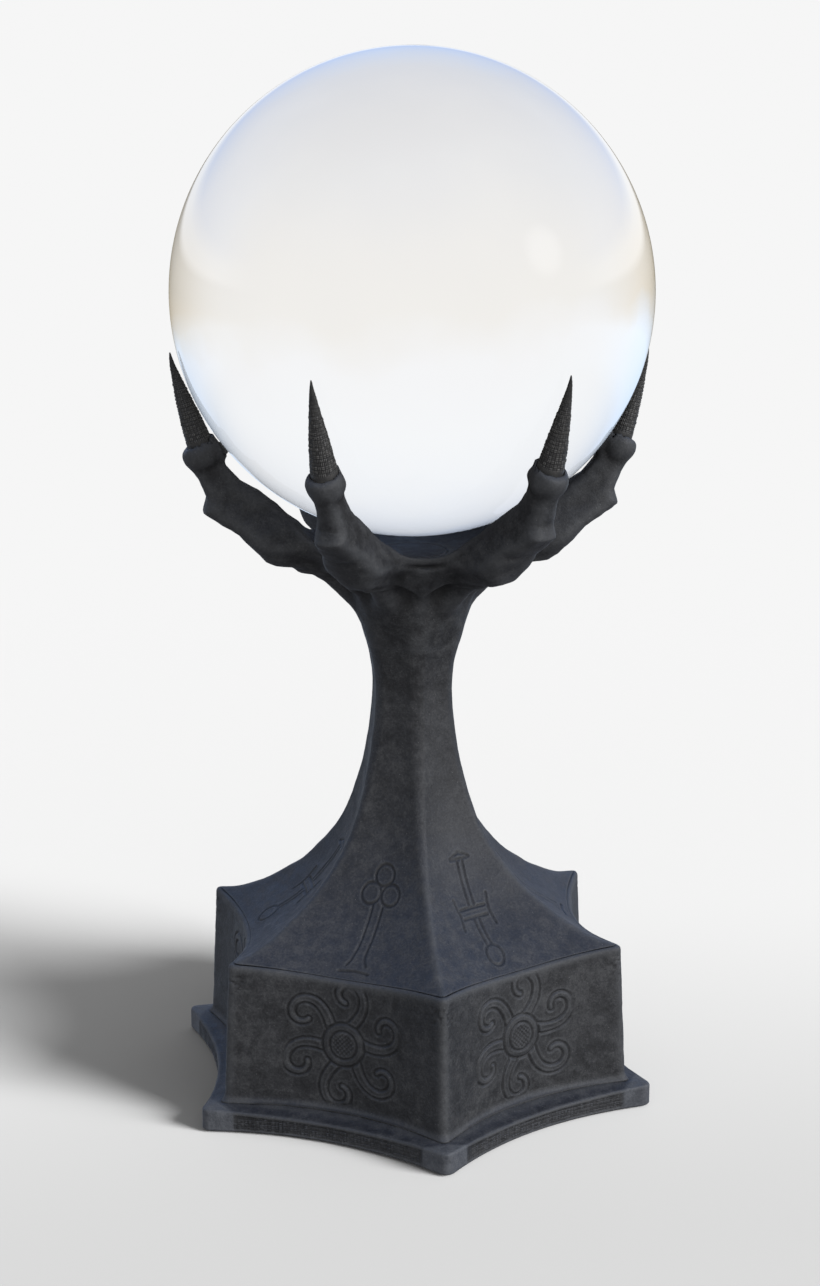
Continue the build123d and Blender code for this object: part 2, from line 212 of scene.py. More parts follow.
def mesh_piece(name, verts, faces, stands_for, material, body="stand"):
    """Object from vertices in millimetres and a list of face arrays (quads or triangles), smooth shaded."""
    mesh = bpy.data.meshes.new(name)
    faces = [np.asarray(f, np.int64) for f in faces if len(f)]
    loops = np.concatenate([f.ravel() for f in faces])
    sizes = np.concatenate([np.full(len(f), f.shape[1]) for f in faces])
    starts = np.concatenate([[0], np.cumsum(sizes)[:-1]])
    mesh.vertices.add(len(verts))
    mesh.vertices.foreach_set("co", (np.asarray(verts) * MM).astype(np.float32).ravel())
    mesh.loops.add(len(loops))
    mesh.loops.foreach_set("vertex_index", loops.astype(np.int32))
    mesh.polygons.add(len(sizes))
    mesh.polygons.foreach_set("loop_start", starts.astype(np.int32))
    mesh.polygons.foreach_set("use_smooth", np.ones(len(sizes), bool))
    mesh.update(calc_edges=True)
    mesh.validate()
    add_wear(mesh)
    piece = bpy.data.objects.new(name, mesh)
    bpy.context.scene.collection.objects.link(piece)
    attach(piece, body)
    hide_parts(stands_for)
    mesh.materials.append(material)
    return piece


def read_all(collection, name, width, kind=np.float32):
    """A property of everything in a Blender collection, one row each."""
    values = np.empty(len(collection) * width, kind)
    collection.foreach_get(name, values)
    return values.reshape(-1, width)


def add_wear(mesh):
    """Store how proud (wear) and how sunk (sunk_depth) each vertex stands against its surroundings."""
    count = len(mesh.vertices)
    place = read_all(mesh.vertices, "co", 3) / MM
    normal = read_all(mesh.vertex_normals, "vector", 3)
    a, b = read_all(mesh.edges, "vertices", 2, np.int32).T
    degree = np.maximum(np.bincount(a, minlength=count) + np.bincount(b, minlength=count), 1)

    def mean_of_neighbours(values):
        return (np.bincount(a, values[b], count) + np.bincount(b, values[a], count)) / degree

    flat = place.astype(float).T
    for _ in range(WEAR_REACH):
        flat = np.array([mean_of_neighbours(axis) for axis in flat])
    proud = ((place.T - flat) * normal.T).sum(0)
    for name, values in (("wear", proud), ("sunk_depth", -proud)):
        store = mesh.attributes.new(name, "FLOAT", "POINT")
        store.data.foreach_set("value", np.clip(values * WEAR_GAIN, 0, 1).astype(np.float32))


def solid_from_rings(rings, loop):
    """Vertices and faces of a closed solid from rings of points, joined end to end or capped at both."""
    rings = np.asarray(rings)
    count, around = rings.shape[:2]
    verts = rings.reshape(-1, 3)
    ring = np.arange(count if loop else count - 1)[:, None]
    point = np.arange(around)[None, :]
    next_ring, next_point = (ring + 1) % count, (point + 1) % around
    quads = np.stack([ring * around + point, ring * around + next_point,
                      next_ring * around + next_point, next_ring * around + point], -1).reshape(-1, 4)
    faces = [quads]
    if not loop:
        centres = np.array([rings[0].mean(0), rings[-1].mean(0)])
        first, last = len(verts), len(verts) + 1
        verts = np.vstack([verts, centres])
        p, q = np.arange(around), (np.arange(around) + 1) % around
        top = (count - 1) * around
        faces.append(np.stack([np.full(around, first), q, p], -1))
        faces.append(np.stack([np.full(around, last), top + p, top + q], -1))
    a, b, c = verts[quads[:, 0]], verts[quads[:, 1]], verts[quads[:, 2]]
    d = verts[quads[:, 3]]
    volume = (np.cross(a, b) * c).sum() + (np.cross(a, c) * d).sum()
    if volume < 0:
        faces = [f[:, ::-1] for f in faces]
    return verts, faces


def ring_piece(name, rings, stands_for, material, loop=True):
    verts, faces = solid_from_rings(rings, loop)
    return mesh_piece(name, verts, faces, stands_for, material)


def grid_normals(rings):
    """Unit normals of a grid of rings; the rings close on themselves."""
    across = np.roll(rings, -1, 1) - np.roll(rings, 1, 1)
    along = np.gradient(rings, axis=0)
    n = np.cross(across, along)
    n /= np.maximum(np.linalg.norm(n, axis=-1, keepdims=True), 1e-9)
    outward = (n[..., :2] * rings[..., :2]).sum(-1).mean()
    return n if outward > 0 else -n


# ---------------------------------------------------------------- six-sided shapes
def side_stations(step):
    """Azimuths about step degrees apart; every face centre and every corner is one of them."""
    per_side = 2 * max(2, round(math.degrees(TURN) / step / FINE / 2))
    return np.arange(SIDES * per_side) * TURN / per_side


def from_face(azimuth):
    """Signed angle from the nearest face centre."""
    return (azimuth + TURN / 2) % TURN - TURN / 2


def one_side(angle, corner, face):
    """Centre to a side whose middle is at face and whose ends are at corner, at an angle from its middle."""
    chord = corner * math.cos(TURN / 2)
    half_width = corner * math.sin(TURN / 2)
    bow = (chord - face) * (np.sin(angle) / half_width) ** 2
    root = np.sqrt(np.maximum(np.cos(angle) ** 2 - 4 * bow * face, 0))
    return 2 * face / (np.cos(angle) + root)


def six_sided(azimuth, corner, face, soft):
    """Centre to a six-sided outline; soft is the blend that rounds its corners."""
    angle = np.abs(from_face(azimuth))
    own = one_side(angle, corner + soft / 4, face)
    neighbour = one_side(TURN - angle, corner + soft / 4, face)
    return soft_min(own, neighbour, soft)


def ring_of(azimuth, radius, height):
    """Ring of points; radius and height are one number each or one for every azimuth."""
    return np.stack([radius * np.cos(azimuth), radius * np.sin(azimuth), height + 0 * radius * azimuth], -1)


def rings_of(azimuth, profile):
    """A ring for each (radius, height) of a profile."""
    return [ring_of(azimuth, radius, height) for radius, height in profile]


def corner_share(azimuth):
    """0 at a face centre, 1 at a corner."""
    return (np.abs(from_face(azimuth)) / (TURN / 2)) ** 2


# ---------------------------------------------------------------- engraved ornament
GROOVE_WIDTH = 0.32
GROOVE_DEPTH = 0.38
LIP_HEIGHT = 0.14
HUB_RADIUS = 7.2                # the rosette's hub: an outer ring, an inner ring and a hatched middle
HUB_INNER_RADIUS = 4.6
HATCH_RADIUS = 4.0
HATCH_PITCH = 4.2               # radians per millimetre
HATCH_HEIGHT = 0.3
ARM_LENGTH = 27.5
ARM_HALF_WIDTH = (1.75, 1.0)    # at the hub and at the tip
ARM_START = (6.6, -1.2)
ARM_TWIST = math.radians(20)
ARM_RAISED, HUB_RAISED = 0.22, 0.25
RAISED_SLOPE = 0.8              # width over which a raised part rises
ROSETTE_REACH = 20.0
STAFF_STRETCH = (1.18, 1.28)    # one value for each of the two staffs
STAFF_SHIFT = (1.3, -1.3)
STAFF_LEAN = (0.0, 0.16)
STAFF_MIDDLE = 21.0             # height that they lean about
STAFF_DROP = 2.2                # both staffs start this much nearer the rim than their drawings


def groove(distance):
    """Height of a cut line with faint raised lips, at a distance from its middle."""
    lip = LIP_HEIGHT * np.exp(-((distance - 2.4 * GROOVE_WIDTH) / GROOVE_WIDTH) ** 2)
    return lip - GROOVE_DEPTH * np.exp(-(distance / GROOVE_WIDTH) ** 2)


def scroll_arm():
    """Middle line of one scroll: it leaves the hub and winds up ever tighter."""
    length = np.linspace(0, ARM_LENGTH, 60)
    direction = math.radians(-34) + 0.018 * length + 0.0062 * length ** 2
    steps = np.stack([np.cos(direction), np.sin(direction)], -1) * np.diff(length, prepend=0)[:, None]
    return ARM_START + np.cumsum(steps, axis=0)


def rosette(u, v):
    """Six scrolls round a ringed hub with a hatched middle."""
    radius = np.hypot(u, v)
    angle = np.arctan2(v, u)
    arm = scroll_arm()
    edge = np.full(u.shape, FAR)
    inside = np.full(u.shape, FAR)
    for k in range(SIDES):
        from_arm = angle - k * TURN - ARM_TWIST
        gap, along = distance_to_path(radius * np.cos(from_arm), radius * np.sin(from_arm), arm)
        half_width = np.interp(along, (0, 1), ARM_HALF_WIDTH)
        edge = np.minimum(edge, np.abs(gap - half_width))
        inside = np.minimum(inside, gap - half_width)
    outside_hub = radius > HUB_RADIUS
    rings = np.minimum(np.abs(radius - HUB_RADIUS), np.abs(radius - HUB_INNER_RADIUS))
    lines = np.minimum(np.where(outside_hub, edge, FAR), rings)
    arms = ARM_RAISED * ease(-inside / RAISED_SLOPE) * outside_hub
    hub = HUB_RAISED * ease((HUB_RADIUS - RAISED_SLOPE / 2 - radius) / RAISED_SLOPE)
    hatch = HATCH_HEIGHT * np.sin(u * HATCH_PITCH) * np.sin(v * HATCH_PITCH)
    return groove(lines) + arms + hub + hatch * ease((HATCH_RADIUS - radius) / RAISED_SLOPE)


def ring_path(centre, radius):
    angle = np.linspace(0, 2 * math.pi, 40)
    return np.array(centre) + radius * np.stack([np.cos(angle), np.sin(angle)], -1)


def cut_lines(u, v, paths):
    nearest = np.full(u.shape, FAR)
    for path in paths:
        nearest = np.minimum(nearest, distance_to_path(u, v, np.array(path, float))[0])
    return groove(nearest)


def trefoil_staff(u, v):
    """Three rings on a forked stem."""
    rings = [ring_path(centre, 3.1) for centre in ((0, 34.2), (-3.3, 28.9), (3.3, 28.9))]
    stem = [[(s * 1.7, 25.6), (s * 1.7, 12.0), (s * 2.1, 8.6), (s * 3.2, 6.6)] for s in (-1, 1)]
    foot = [[(-5.0, 4.4), (0, 4.9), (5.0, 4.4)]]
    return cut_lines(u, v, rings + stem + foot)


def crossed_staff(u, v):
    """A stem with a cross-bar, a leaf at its top and a ring at its foot."""
    top = [[(-3.6, 35.0), (0, height), (3.6, 35.0)] for height in (36.4, 34.6)]
    stem = [[(s * 1.0, 34.2), (s * 1.0, 22.6)] for s in (-1, 1)]
    stem += [[(s * 1.0, 18.8), (s * 0.9, 11.2)] for s in (-1, 1)]
    bars = [[(-5.0, height), (5.0, height)] for height in (19.4, 22.0)]
    ends = [[(s * 6.6, 16.4), (s * 5.8, 20.7), (s * 6.6, 25.0)] for s in (-1, 1)]
    return cut_lines(u, v, top + stem + bars + ends + [ring_path((0, 7.9), 3.1)])


rosette_table = Table(rosette, (-ROSETTE_REACH, -ROSETTE_REACH), (ROSETTE_REACH, ROSETTE_REACH), 0.12)
staff_tables = [Table(shape, (-8.5, 1.0), (8.5, 40.0), 0.15) for shape in (trefoil_staff, crossed_staff)]


def within(u, v, reach_u, low_v, high_v):
    """1 inside a box, easing to 0 over a millimetre at its border."""
    return ease(reach_u - np.abs(u)) * ease(v - low_v) * ease(high_v - v)


def staff_relief(kind, lateral, climbed):
    """One of the two engraved staffs, stretched to its size, moved off the middle line and leaned."""
    along = (climbed + STAFF_DROP) / STAFF_STRETCH[kind]
    across = lateral - STAFF_SHIFT[kind] + STAFF_LEAN[kind] * (STAFF_MIDDLE - along)
    return staff_tables[kind](across, along) * within(across, along, 8.2, 1.6, 39.0)


# ---------------------------------------------------------------- texture of the castings
def uneven(points, size, height, seed):
    """Slight unevenness of a hand-finished casting."""
    return height * (noise(points, size, seed) + 0.5 * noise(points, size / 2.3, seed + 1))


def basket(u, v, seed, around=None):
    """Woven cells one unit in size, two strands in each, running up or across, at uneven heights.

    around is how many cells go round if the rows close up.
    """
    column, row = np.floor(u), np.floor(v)
    across, up = u - column, v - row
    if around:
        column = column % around
    chance = np.sin(row * 12.9898 + column * 78.233 + seed) * 43758.5453
    chance -= np.floor(chance)
    strands = np.abs(np.sin(2 * math.pi * np.where(chance > 0.5, across, up)))
    border = ease(np.minimum(across, 1 - across) * 5) * ease(np.minimum(up, 1 - up) * 5)
    return border * strands * (0.3 + 0.7 * (7 * chance % 1))


# ---------------------------------------------------------------- column
# (radius, height) up a ridge and up the middle of a face; the last point only bends the curve at COLUMN_TOP
RIDGE = [(70.7, RIM_CORNER_Z), (62.0, 55.3), (52.0, 60.0), (45.0, 64.5), (38.5, 69.3), (29.0, 79.5),
         (23.0, 89.0), (18.0, 103.0), (14.8, 117.0), (13.4, 131.0), (14.1, 141.0), (16.6, COLUMN_TOP),
         (18.0, 155.0)]
FACE = [(53.6, RIM_FACE_Z), (50.0, 53.0), (46.0, 56.0), (39.7, 60.0), (33.1, 66.0), (26.0, 75.0),
        (20.6, 85.0), (17.2, 95.0), (14.2, 110.0), (12.1, 131.0), (12.8, 140.0), (15.2, COLUMN_TOP),
        (17.6, 155.0)]
CORE = [(38.0, PLINTH_TOP), (30.0, 58.5), (22.0, 67.0), (15.5, 78.0), (10.5, 90.0), (8.0, 96.0)]
SKIRT_SOFT, NECK_SOFT = 3.0, 5.0
SOFT_RISE = 60.0                # the corners' rounding has grown to NECK_SOFT this far above the rim
LEVEL_RISE = 14.0               # this far above the rim the skirt's rings are level
SKIRT_LENGTH = 52.0             # the engraved stretch, measured up a ridge
SEAT_INSIDE, SEAT_OUTSIDE = 36.0, 52.0      # between these radii the joint rises from level to the rim
ridge_curve = curve_through(RIDGE, 0.5)
face_curve = curve_through(FACE, 0.5)


def ridge_radius(height):
    return np.interp(height, ridge_curve[:, 1], ridge_curve[:, 0])


def face_radius(height):
    return np.interp(height, face_curve[:, 1], face_curve[:, 0])


def rim_height(azimuth):
    """Height of the plinth's top edge, which rises from face to corner."""
    return RIM_FACE_Z + (RIM_CORNER_Z - RIM_FACE_Z) * corner_share(azimuth)


def seat_height(azimuth, radius):
    """Height of the joint between plinth and column: level inside, following the plinth's rim outside."""
    rise = ease((radius - SEAT_INSIDE) / (SEAT_OUTSIDE - SEAT_INSIDE))
    return PLINTH_TOP + (rim_height(azimuth) - PLINTH_TOP) * rise


def level_rings(azimuth, stations, radius_of):
    """Rings at the given stations; radius_of(azimuth, station) gives radius and height."""
    return np.array(rings_of(azimuth, [radius_of(azimuth, station) for station in stations]))


def off_middle(rings, azimuth):
    """How far the points of rings are from the middle plane of their face."""
    return np.hypot(rings[..., 0], rings[..., 1]) * np.sin(from_face(azimuth))


def face_height(rise):
    """Height at a face centre of the ring that is this far above the rim at the corners."""
    return RIM_CORNER_Z + rise - (RIM_CORNER_Z - RIM_FACE_Z) * ease(1 - rise / LEVEL_RISE)


def column_ring(azimuth, rise):
    """The column's outside, this far above the rim at the corners."""
    corner_z, face_z = RIM_CORNER_Z + rise, face_height(rise)
    soft = SKIRT_SOFT + (NECK_SOFT - SKIRT_SOFT) * ease(rise / SOFT_RISE)
    height = face_z + (corner_z - face_z) * corner_share(azimuth)
    return six_sided(azimuth, ridge_radius(corner_z), face_radius(face_z), soft), height


def make_column():
    azimuth = side_stations(0.55)
    curve = ridge_curve[ridge_curve[:, 1] <= COLUMN_TOP]
    travelled = length_along(curve)
    engraved = np.arange(0.5, SKIRT_LENGTH, 0.36 * FINE)
    plain = np.arange(SKIRT_LENGTH, travelled[-1], 0.8 * FINE)
    heights = np.interp(np.concatenate([engraved, plain]), travelled, curve[:, 1])
    rise = np.append(heights, COLUMN_TOP) - RIM_CORNER_Z
    outer = level_rings(azimuth, rise, column_ring)
    lateral = off_middle(outer, azimuth)
    climbed = np.interp(face_height(rise), face_curve[:, 1], length_along(face_curve))[:, None] + 0 * lateral
    odd_face = np.round(azimuth / TURN).astype(int) % 2 == 1
    relief = np.where(odd_face, staff_relief(1, lateral, climbed), staff_relief(0, lateral, climbed))
    fade = ease((COLUMN_TOP - 4.0 - outer[..., 2]) / 6.0) * ease((outer[..., 2] - RIM_FACE_Z) / 3.0)
    relief = relief + (uneven(outer, 9.0, 0.16, 11) + uneven(outer, 2.2, 0.035, 13)) * fade
    outer = outer + grid_normals(outer) * relief[..., None]

    core_edge = CORE[0][0] + 0.2
    rim = np.hypot(outer[0, :, 0], outer[0, :, 1]) - 0.4
    seat = [core_edge + (rim - core_edge) * share for share in (0.0, 0.35, 0.7, 0.9)]
    profile = [(ROD_BORE, COLUMN_TOP), (ROD_BORE, CORE[-1][1] + 0.6), *reversed(CORE)]
    profile += [(radius, seat_height(azimuth, radius)) for radius in seat]
    inner = rings_of(azimuth, [*profile, (rim, outer[0, :, 2] - 0.2)])
    top = rings_of(azimuth, [(RECESS_RADIUS - 0.4, COLUMN_TOP)])
    return ring_piece("column_casting", np.concatenate([inner, outer, top]), "column", iron)


# ---------------------------------------------------------------- plinth
RIM_ROUND = 1.3                 # radius of the plinth's rounded top edge
ROSETTE_MIDDLE = (FOOT_TOP + RIM_FACE_Z) / 2 + 0.6


def plinth_ring(azimuth, share):
    """The plinth's outside from its foot (share 0) to the start of its rounded top edge (share 1)."""
    corner = PLINTH_CORNER_LOW + (PLINTH_CORNER_HIGH - PLINTH_CORNER_LOW) * share
    face = PLINTH_FACE_LOW + (PLINTH_FACE_HIGH - PLINTH_FACE_LOW) * share
    flare = PLINTH_FLARE * np.maximum(1 - share / 0.07, 0) ** 2
    height = FOOT_TOP + (rim_height(azimuth) - RIM_ROUND - FOOT_TOP) * share
    return six_sided(azimuth, corner, face, PLINTH_SOFT) + flare, height


def casting_pits(rings, azimuth, above):
    """Pin holes near the top of the plinth's corners."""
    near_corner = ease((np.abs(from_face(azimuth)) - math.radians(26.5)) / math.radians(1.5))
    return 0.5 * near_corner * ease((above - 13.0) / 2.0) * np.maximum(noise(rings, 0.8, 29), 0)


def make_plinth():
    azimuth = side_stations(0.32)
    wall = np.concatenate([[0.0, 0.01], np.arange(0.02, 0.98, 0.0075 * FINE), [0.985, 1.0]])
    outer = level_rings(azimuth, wall, plinth_ring)
    lateral, above = off_middle(outer, azimuth), outer[..., 2] - ROSETTE_MIDDLE
    reach = ROSETTE_REACH - 0.3
    relief = rosette_table(lateral, above) * within(lateral, above, reach, -reach, reach)
    relief += uneven(outer, 10.0, 0.2, 17) + uneven(outer, 2.0, 0.04, 19)
    relief -= casting_pits(outer, azimuth, above)
    fade = ease(wall / 0.06) * ease((1 - wall) / 0.06)
    outer = outer + grid_normals(outer) * (relief * fade[:, None])[..., None]

    edge, edge_height = np.hypot(outer[-1, :, 0], outer[-1, :, 1]), outer[-1, :, 2]
    profile = [(edge - RIM_ROUND * (1 - math.cos(turn)), edge_height + RIM_ROUND * math.sin(turn))
               for turn in np.radians([25, 50, 75, 90])]
    profile.append((edge - 2.0, edge_height + RIM_ROUND - 0.08))
    for share in (0.92, 0.7, 0.4, 0.0):
        radius = 30 + (edge - 2.2 - 30) * share
        profile.append((radius, seat_height(azimuth, radius) - 0.6 * ease(share)))
    rim = rings_of(azimuth, profile)

    inner_corner = PLINTH_CORNER_HIGH - PLINTH_WALL * 1.155
    inner_wall = six_sided(azimuth, inner_corner, PLINTH_FACE_HIGH - PLINTH_WALL, 5.0)
    ceiling = PLINTH_TOP - PLINTH_WALL
    from_corner = TURN / 2 - np.abs(from_face(azimuth))
    half_chord = POST_RADIUS ** 2 - (POST_AT * np.sin(from_corner)) ** 2
    post = POST_AT * np.cos(from_corner) - np.sqrt(np.maximum(half_chord, 0))
    posted_wall = np.where(half_chord > 0, np.minimum(inner_wall, post), inner_wall)
    profile = [(ROD_BORE, PLINTH_TOP), (ROD_BORE, ceiling), (20.0, ceiling), (inner_wall - 2.0, ceiling),
               (inner_wall, ceiling - 2.0), (inner_wall, POST_TOP + 0.1), (posted_wall, POST_TOP),
               (posted_wall, FOOT_TOP)]
    inside = rings_of(azimuth, profile)
    return ring_piece("plinth_casting", np.concatenate([inside, outer, rim]), "plinth", iron)


# ---------------------------------------------------------------- foot plate
EDGE_ROUND = 0.9
EDGE_SAG = 1.3                  # the plate's top edge is this much lower midway between corners
BAND_END = 0.39 * FOOT_CORNER   # the woven band on a side ends this far from the side's middle
BAND_PITCH = 1.2
UNDER_INSET = 7.0


def foot_side(azimuth, edge, edge_top):
    """Profile of the plate's upright edge, with a woven band along each side."""
    lateral = edge * np.sin(from_face(azimuth))
    textured = ease((BAND_END - np.abs(lateral)) / 0.6)
    top, bottom = edge_top - EDGE_ROUND, FOOT_BOTTOM + 0.5
    profile = []
    for part in np.linspace(0, 1, int(30 / FINE)):
        height = top + (bottom - top) * part
        band = textured * ease(part * 10) * ease((1 - part) * 10)
        relief = 0.5 * basket(lateral / BAND_PITCH, height / BAND_PITCH, 3) - 0.45
        profile.append((edge + relief * band, height))
    return profile


def make_foot_plate():
    azimuth = side_stations(0.2)
    edge = six_sided(azimuth, FOOT_CORNER, FOOT_FACE, FOOT_SOFT)
    edge_top = FOOT_TOP - EDGE_SAG * (1 - corner_share(azimuth) ** 1.5)
    under = six_sided(azimuth, FOOT_CORNER - UNDER_INSET, FOOT_FACE - UNDER_INSET, 3.0)
    plinth_foot = six_sided(azimuth, PLINTH_CORNER_LOW, PLINTH_FACE_LOW, PLINTH_SOFT)
    boss = [(ROD_BORE, BOSS_TOP), (BOSS_RADIUS - 0.6, BOSS_TOP), (BOSS_RADIUS, BOSS_TOP - 0.6),
            (BOSS_RADIUS, FOOT_TOP + 0.6), (BOSS_RADIUS + 1.0, FOOT_TOP)]
    top = [(plinth_foot * share, FOOT_TOP) for share in (0.6, 0.95)]
    start, end = plinth_foot + 0.6, edge - EDGE_ROUND
    top += [(start + (end - start) * part, FOOT_TOP + (edge_top - FOOT_TOP) * ease(part))
            for part in np.linspace(0.0, 1.0, 9)]
    top += [(edge - EDGE_ROUND * (1 - math.sin(turn)), edge_top - EDGE_ROUND * (1 - math.cos(turn)))
            for turn in np.radians([20, 45, 70])]
    underside = [(edge - 0.5, FOOT_BOTTOM), (under, FOOT_BOTTOM), (under - 0.05, PAD_TOP),
                 (RECESS_RADIUS, PAD_TOP), (RECESS_RADIUS, FOOT_RECESS_TOP), (ROD_BORE, FOOT_RECESS_TOP)]
    rings = np.array(rings_of(azimuth, [*boss, *top, *foot_side(azimuth, edge, edge_top), *underside]))
    relief = uneven(rings, 8.0, 0.12, 23)
    relief[:len(boss) + 1] = 0
    relief[-len(underside):] = 0
    rings += grid_normals(rings) * relief[..., None]
    return ring_piece("foot_plate_casting", rings, "foot_plate", iron)


# ---------------------------------------------------------------- claw hand
# (radius, height) along a finger's middle plane
FINGER_OUTSIDE = [(71.0, 207.5), (67.2, 201.0), (64.9, 195.4), (65.9, 190.6), (60.2, 186.7), (55.2, 183.7),
                  (50.4, 178.4), (46.8, 174.4), (43.4, 172.8), (37.9, 172.2), (30.0, 170.6), (20.0, 168.0)]
FINGER_INSIDE = [(8.0, 168.0), (8.0, 176.0), (20.0, 180.0), (27.0, 184.0), (33.2, 187.2), (38.4, 189.4),
                 (43.2, 193.1), (48.8, 197.0), (54.3, 200.5), (58.3, 205.1), (59.7, 209.1), (60.9, 213.1),
                 (62.2, 215.6), (64.2, 215.2)]
COLLAR = (66.0, 209.1)
COLLAR_RADIUS = 5.9
CUTICLE = (67.1, 213.0)         # a point on the collar's slanted top
CUTICLE_LEAN = math.radians(35)
PAD_BOSS = (61.0, 209.9)
PAD_BOSS_RADIUS = 3.2
BOXY = 2.9                      # 2 makes a finger's section an ellipse, more makes it squarer

# (height, radius) of the stem under the palm, between fingers and under one, and its hollow between them
STEM_WEB = [(144.0, 14.9), (150.0, 16.6), (156.0, 18.0), (161.0, 19.7), (164.5, 21.4), (168.0, 24.4),
            (172.0, 28.0), (187.0, 30.0)]
STEM_KEEL = [(144.0, 13.8), (150.0, 15.2), (155.5, 17.4), (160.5, 20.6), (165.9, 26.6), (169.8, 32.2),
             (172.0, 37.0), (187.0, 38.0)]
STEM_HOLLOW = [(156.0, 0.0), (161.0, 0.7), (164.5, 1.8), (168.0, 3.6), (172.0, 5.6), (187.0, 6.0)]
# (height, radius) of the palm, between fingers and at their roots
PALM_WEB = [(160.0, 19.0), (166.0, 23.4), (172.0, 28.4), (177.0, 31.4), (181.0, 33.0), (187.0, 34.0)]
PALM_ROOT = [(160.0, 21.0), (166.0, 25.5), (170.0, 29.5), (174.0, 32.0), (181.0, 35.0), (187.0, 36.0)]
# (degrees from midway between fingers, height) of the palm's lower edge
PALM_EDGE = [(0.0, 165.6), (5.5, 167.8), (10.0, 169.7), (15.0, 171.0), (21.0, 171.8), (30.0, 172.2)]
PALM_TOP = 184.0
PALM_SOFT = 4.6
CREASE_HEIGHT = 177.9           # a shallow crease across the palm between two fingers
CREASE_DEPTH = 1.2
DISH = [(0.0, 176.6), (13.0, 176.6), (24.0, 177.9), (32.0, 181.2), (39.0, 188.8), (60.0, 216.0),
        (80.0, 240.0)]
SEAM_LAP = 6.0                  # the hand goes on this far down past the column's top edge
SEAM_PROUD = 0.08               # at first just outside the column's surface
SEAM_TUCK = 0.6                 # and further down this much closer in, under it

# (radius, height, own radius) up a talon's middle line
TALON = [(65.1, 209.0, 4.1), (66.7, 213.0, 4.1), (69.0, 219.6, 3.45), (71.1, 226.0, 2.6), (73.1, 232.4, 1.6),
         (74.5, 237.4, 0.8), (75.1, 240.8, 0.2)]
SPIGOT_TOP = 211.0
SPIGOT_RADIUS = 2.2
SEAT_PAD_DIRECTION = (64.9, -51.1)      # from the ball's centre: outwards, upwards
SEAT_PAD_RADIUS = 2.3
SEAT_PAD_BACK = 77.8            # ball centre to the floor of a pad's socket
SOCKET_GAP = 0.06
BALL_GAP = 0.6                  # least gap between the ball and the iron

finger_outline = np.array(FINGER_OUTSIDE + FINGER_INSIDE)
finger_side = Table(lambda r, z: distance_to_outline(r, z, finger_outline), (0.0, 142.0), (84.0, 224.0), 0.25)
stem_web, stem_keel, stem_hollow = (curve_through(rows, 1.0) for rows in (STEM_WEB, STEM_KEEL, STEM_HOLLOW))
palm_web, palm_root, palm_edge = (curve_through(rows, 1.0) for rows in (PALM_WEB, PALM_ROOT, PALM_EDGE))
dish_curve = curve_through(DISH, 1.0)


def read_off(curve, at):
    return np.interp(at, curve[:, 0], curve[:, 1])


def talon_rows(spacing):
    """TALON as a smooth curve, with its lower end thinned to a spigot."""
    rows = curve_through(TALON, spacing)
    rows[:, 2] = SPIGOT_RADIUS + (rows[:, 2] - SPIGOT_RADIUS) * (rows[:, 1] > SPIGOT_TOP)
    return rows


def round_knob(out, across, height, centre, radius):
    """Distance to a sphere whose centre (radius, height) lies in the finger's middle plane."""
    return np.sqrt((out - centre[0]) ** 2 + across ** 2 + (height - centre[1]) ** 2) - radius


def finger_distance(out, across, height):
    """Roughly how far a point is from one finger; across is measured from the finger's middle plane."""
    knuckle = ease((204.0 - height) / 20.0)
    root = ease((192.0 - height) / 12.0) - ease((180.0 - height) / 6.0)
    half_width = 3.6 + 2.8 * knuckle + 2.8 * root - 3.6 * ease((172.5 - height) / 6.0)
    depth = 4.0 + 2.4 * ease((206.0 - height) / 24.0)
    inward = np.maximum(finger_side(out, height) + depth, 0) / depth
    sideways = np.abs(across) / half_width
    finger = ((inward ** BOXY + sideways ** BOXY) ** (1 / BOXY) - 1) * depth
    finger = soft_min(finger, round_knob(out, across, height, COLLAR, COLLAR_RADIUS), 0.9)
    finger = soft_min(finger, round_knob(out, across, height, PAD_BOSS, PAD_BOSS_RADIUS), 1.5)
    above = (out - CUTICLE[0]) * math.sin(CUTICLE_LEAN) + (height - CUTICLE[1]) * math.cos(CUTICLE_LEAN)
    return soft_max(finger, above, 1.0)


def collar_holes(out, across, height):
    """Distance to the space that the talon and the seat pad need in a collar."""
    talon_foot = [row for row in talon_rows(0.6) if row[1] < 219.0]
    best = np.full(np.shape(out), FAR, np.float32)
    for r, z, own_radius in talon_foot[::2]:
        best = np.minimum(best, round_knob(out, across, height, (r, z), own_radius))
    drop = height - BALL_CENTRE[2]
    reach = math.hypot(*SEAT_PAD_DIRECTION)
    from_ball = (out * SEAT_PAD_DIRECTION[0] + drop * SEAT_PAD_DIRECTION[1]) / reach
    aside = np.hypot((out * SEAT_PAD_DIRECTION[1] - drop * SEAT_PAD_DIRECTION[0]) / reach, across)
    pad = np.maximum(aside - SEAT_PAD_RADIUS, from_ball - SEAT_PAD_BACK)
    return np.minimum(best, pad) - SOCKET_GAP


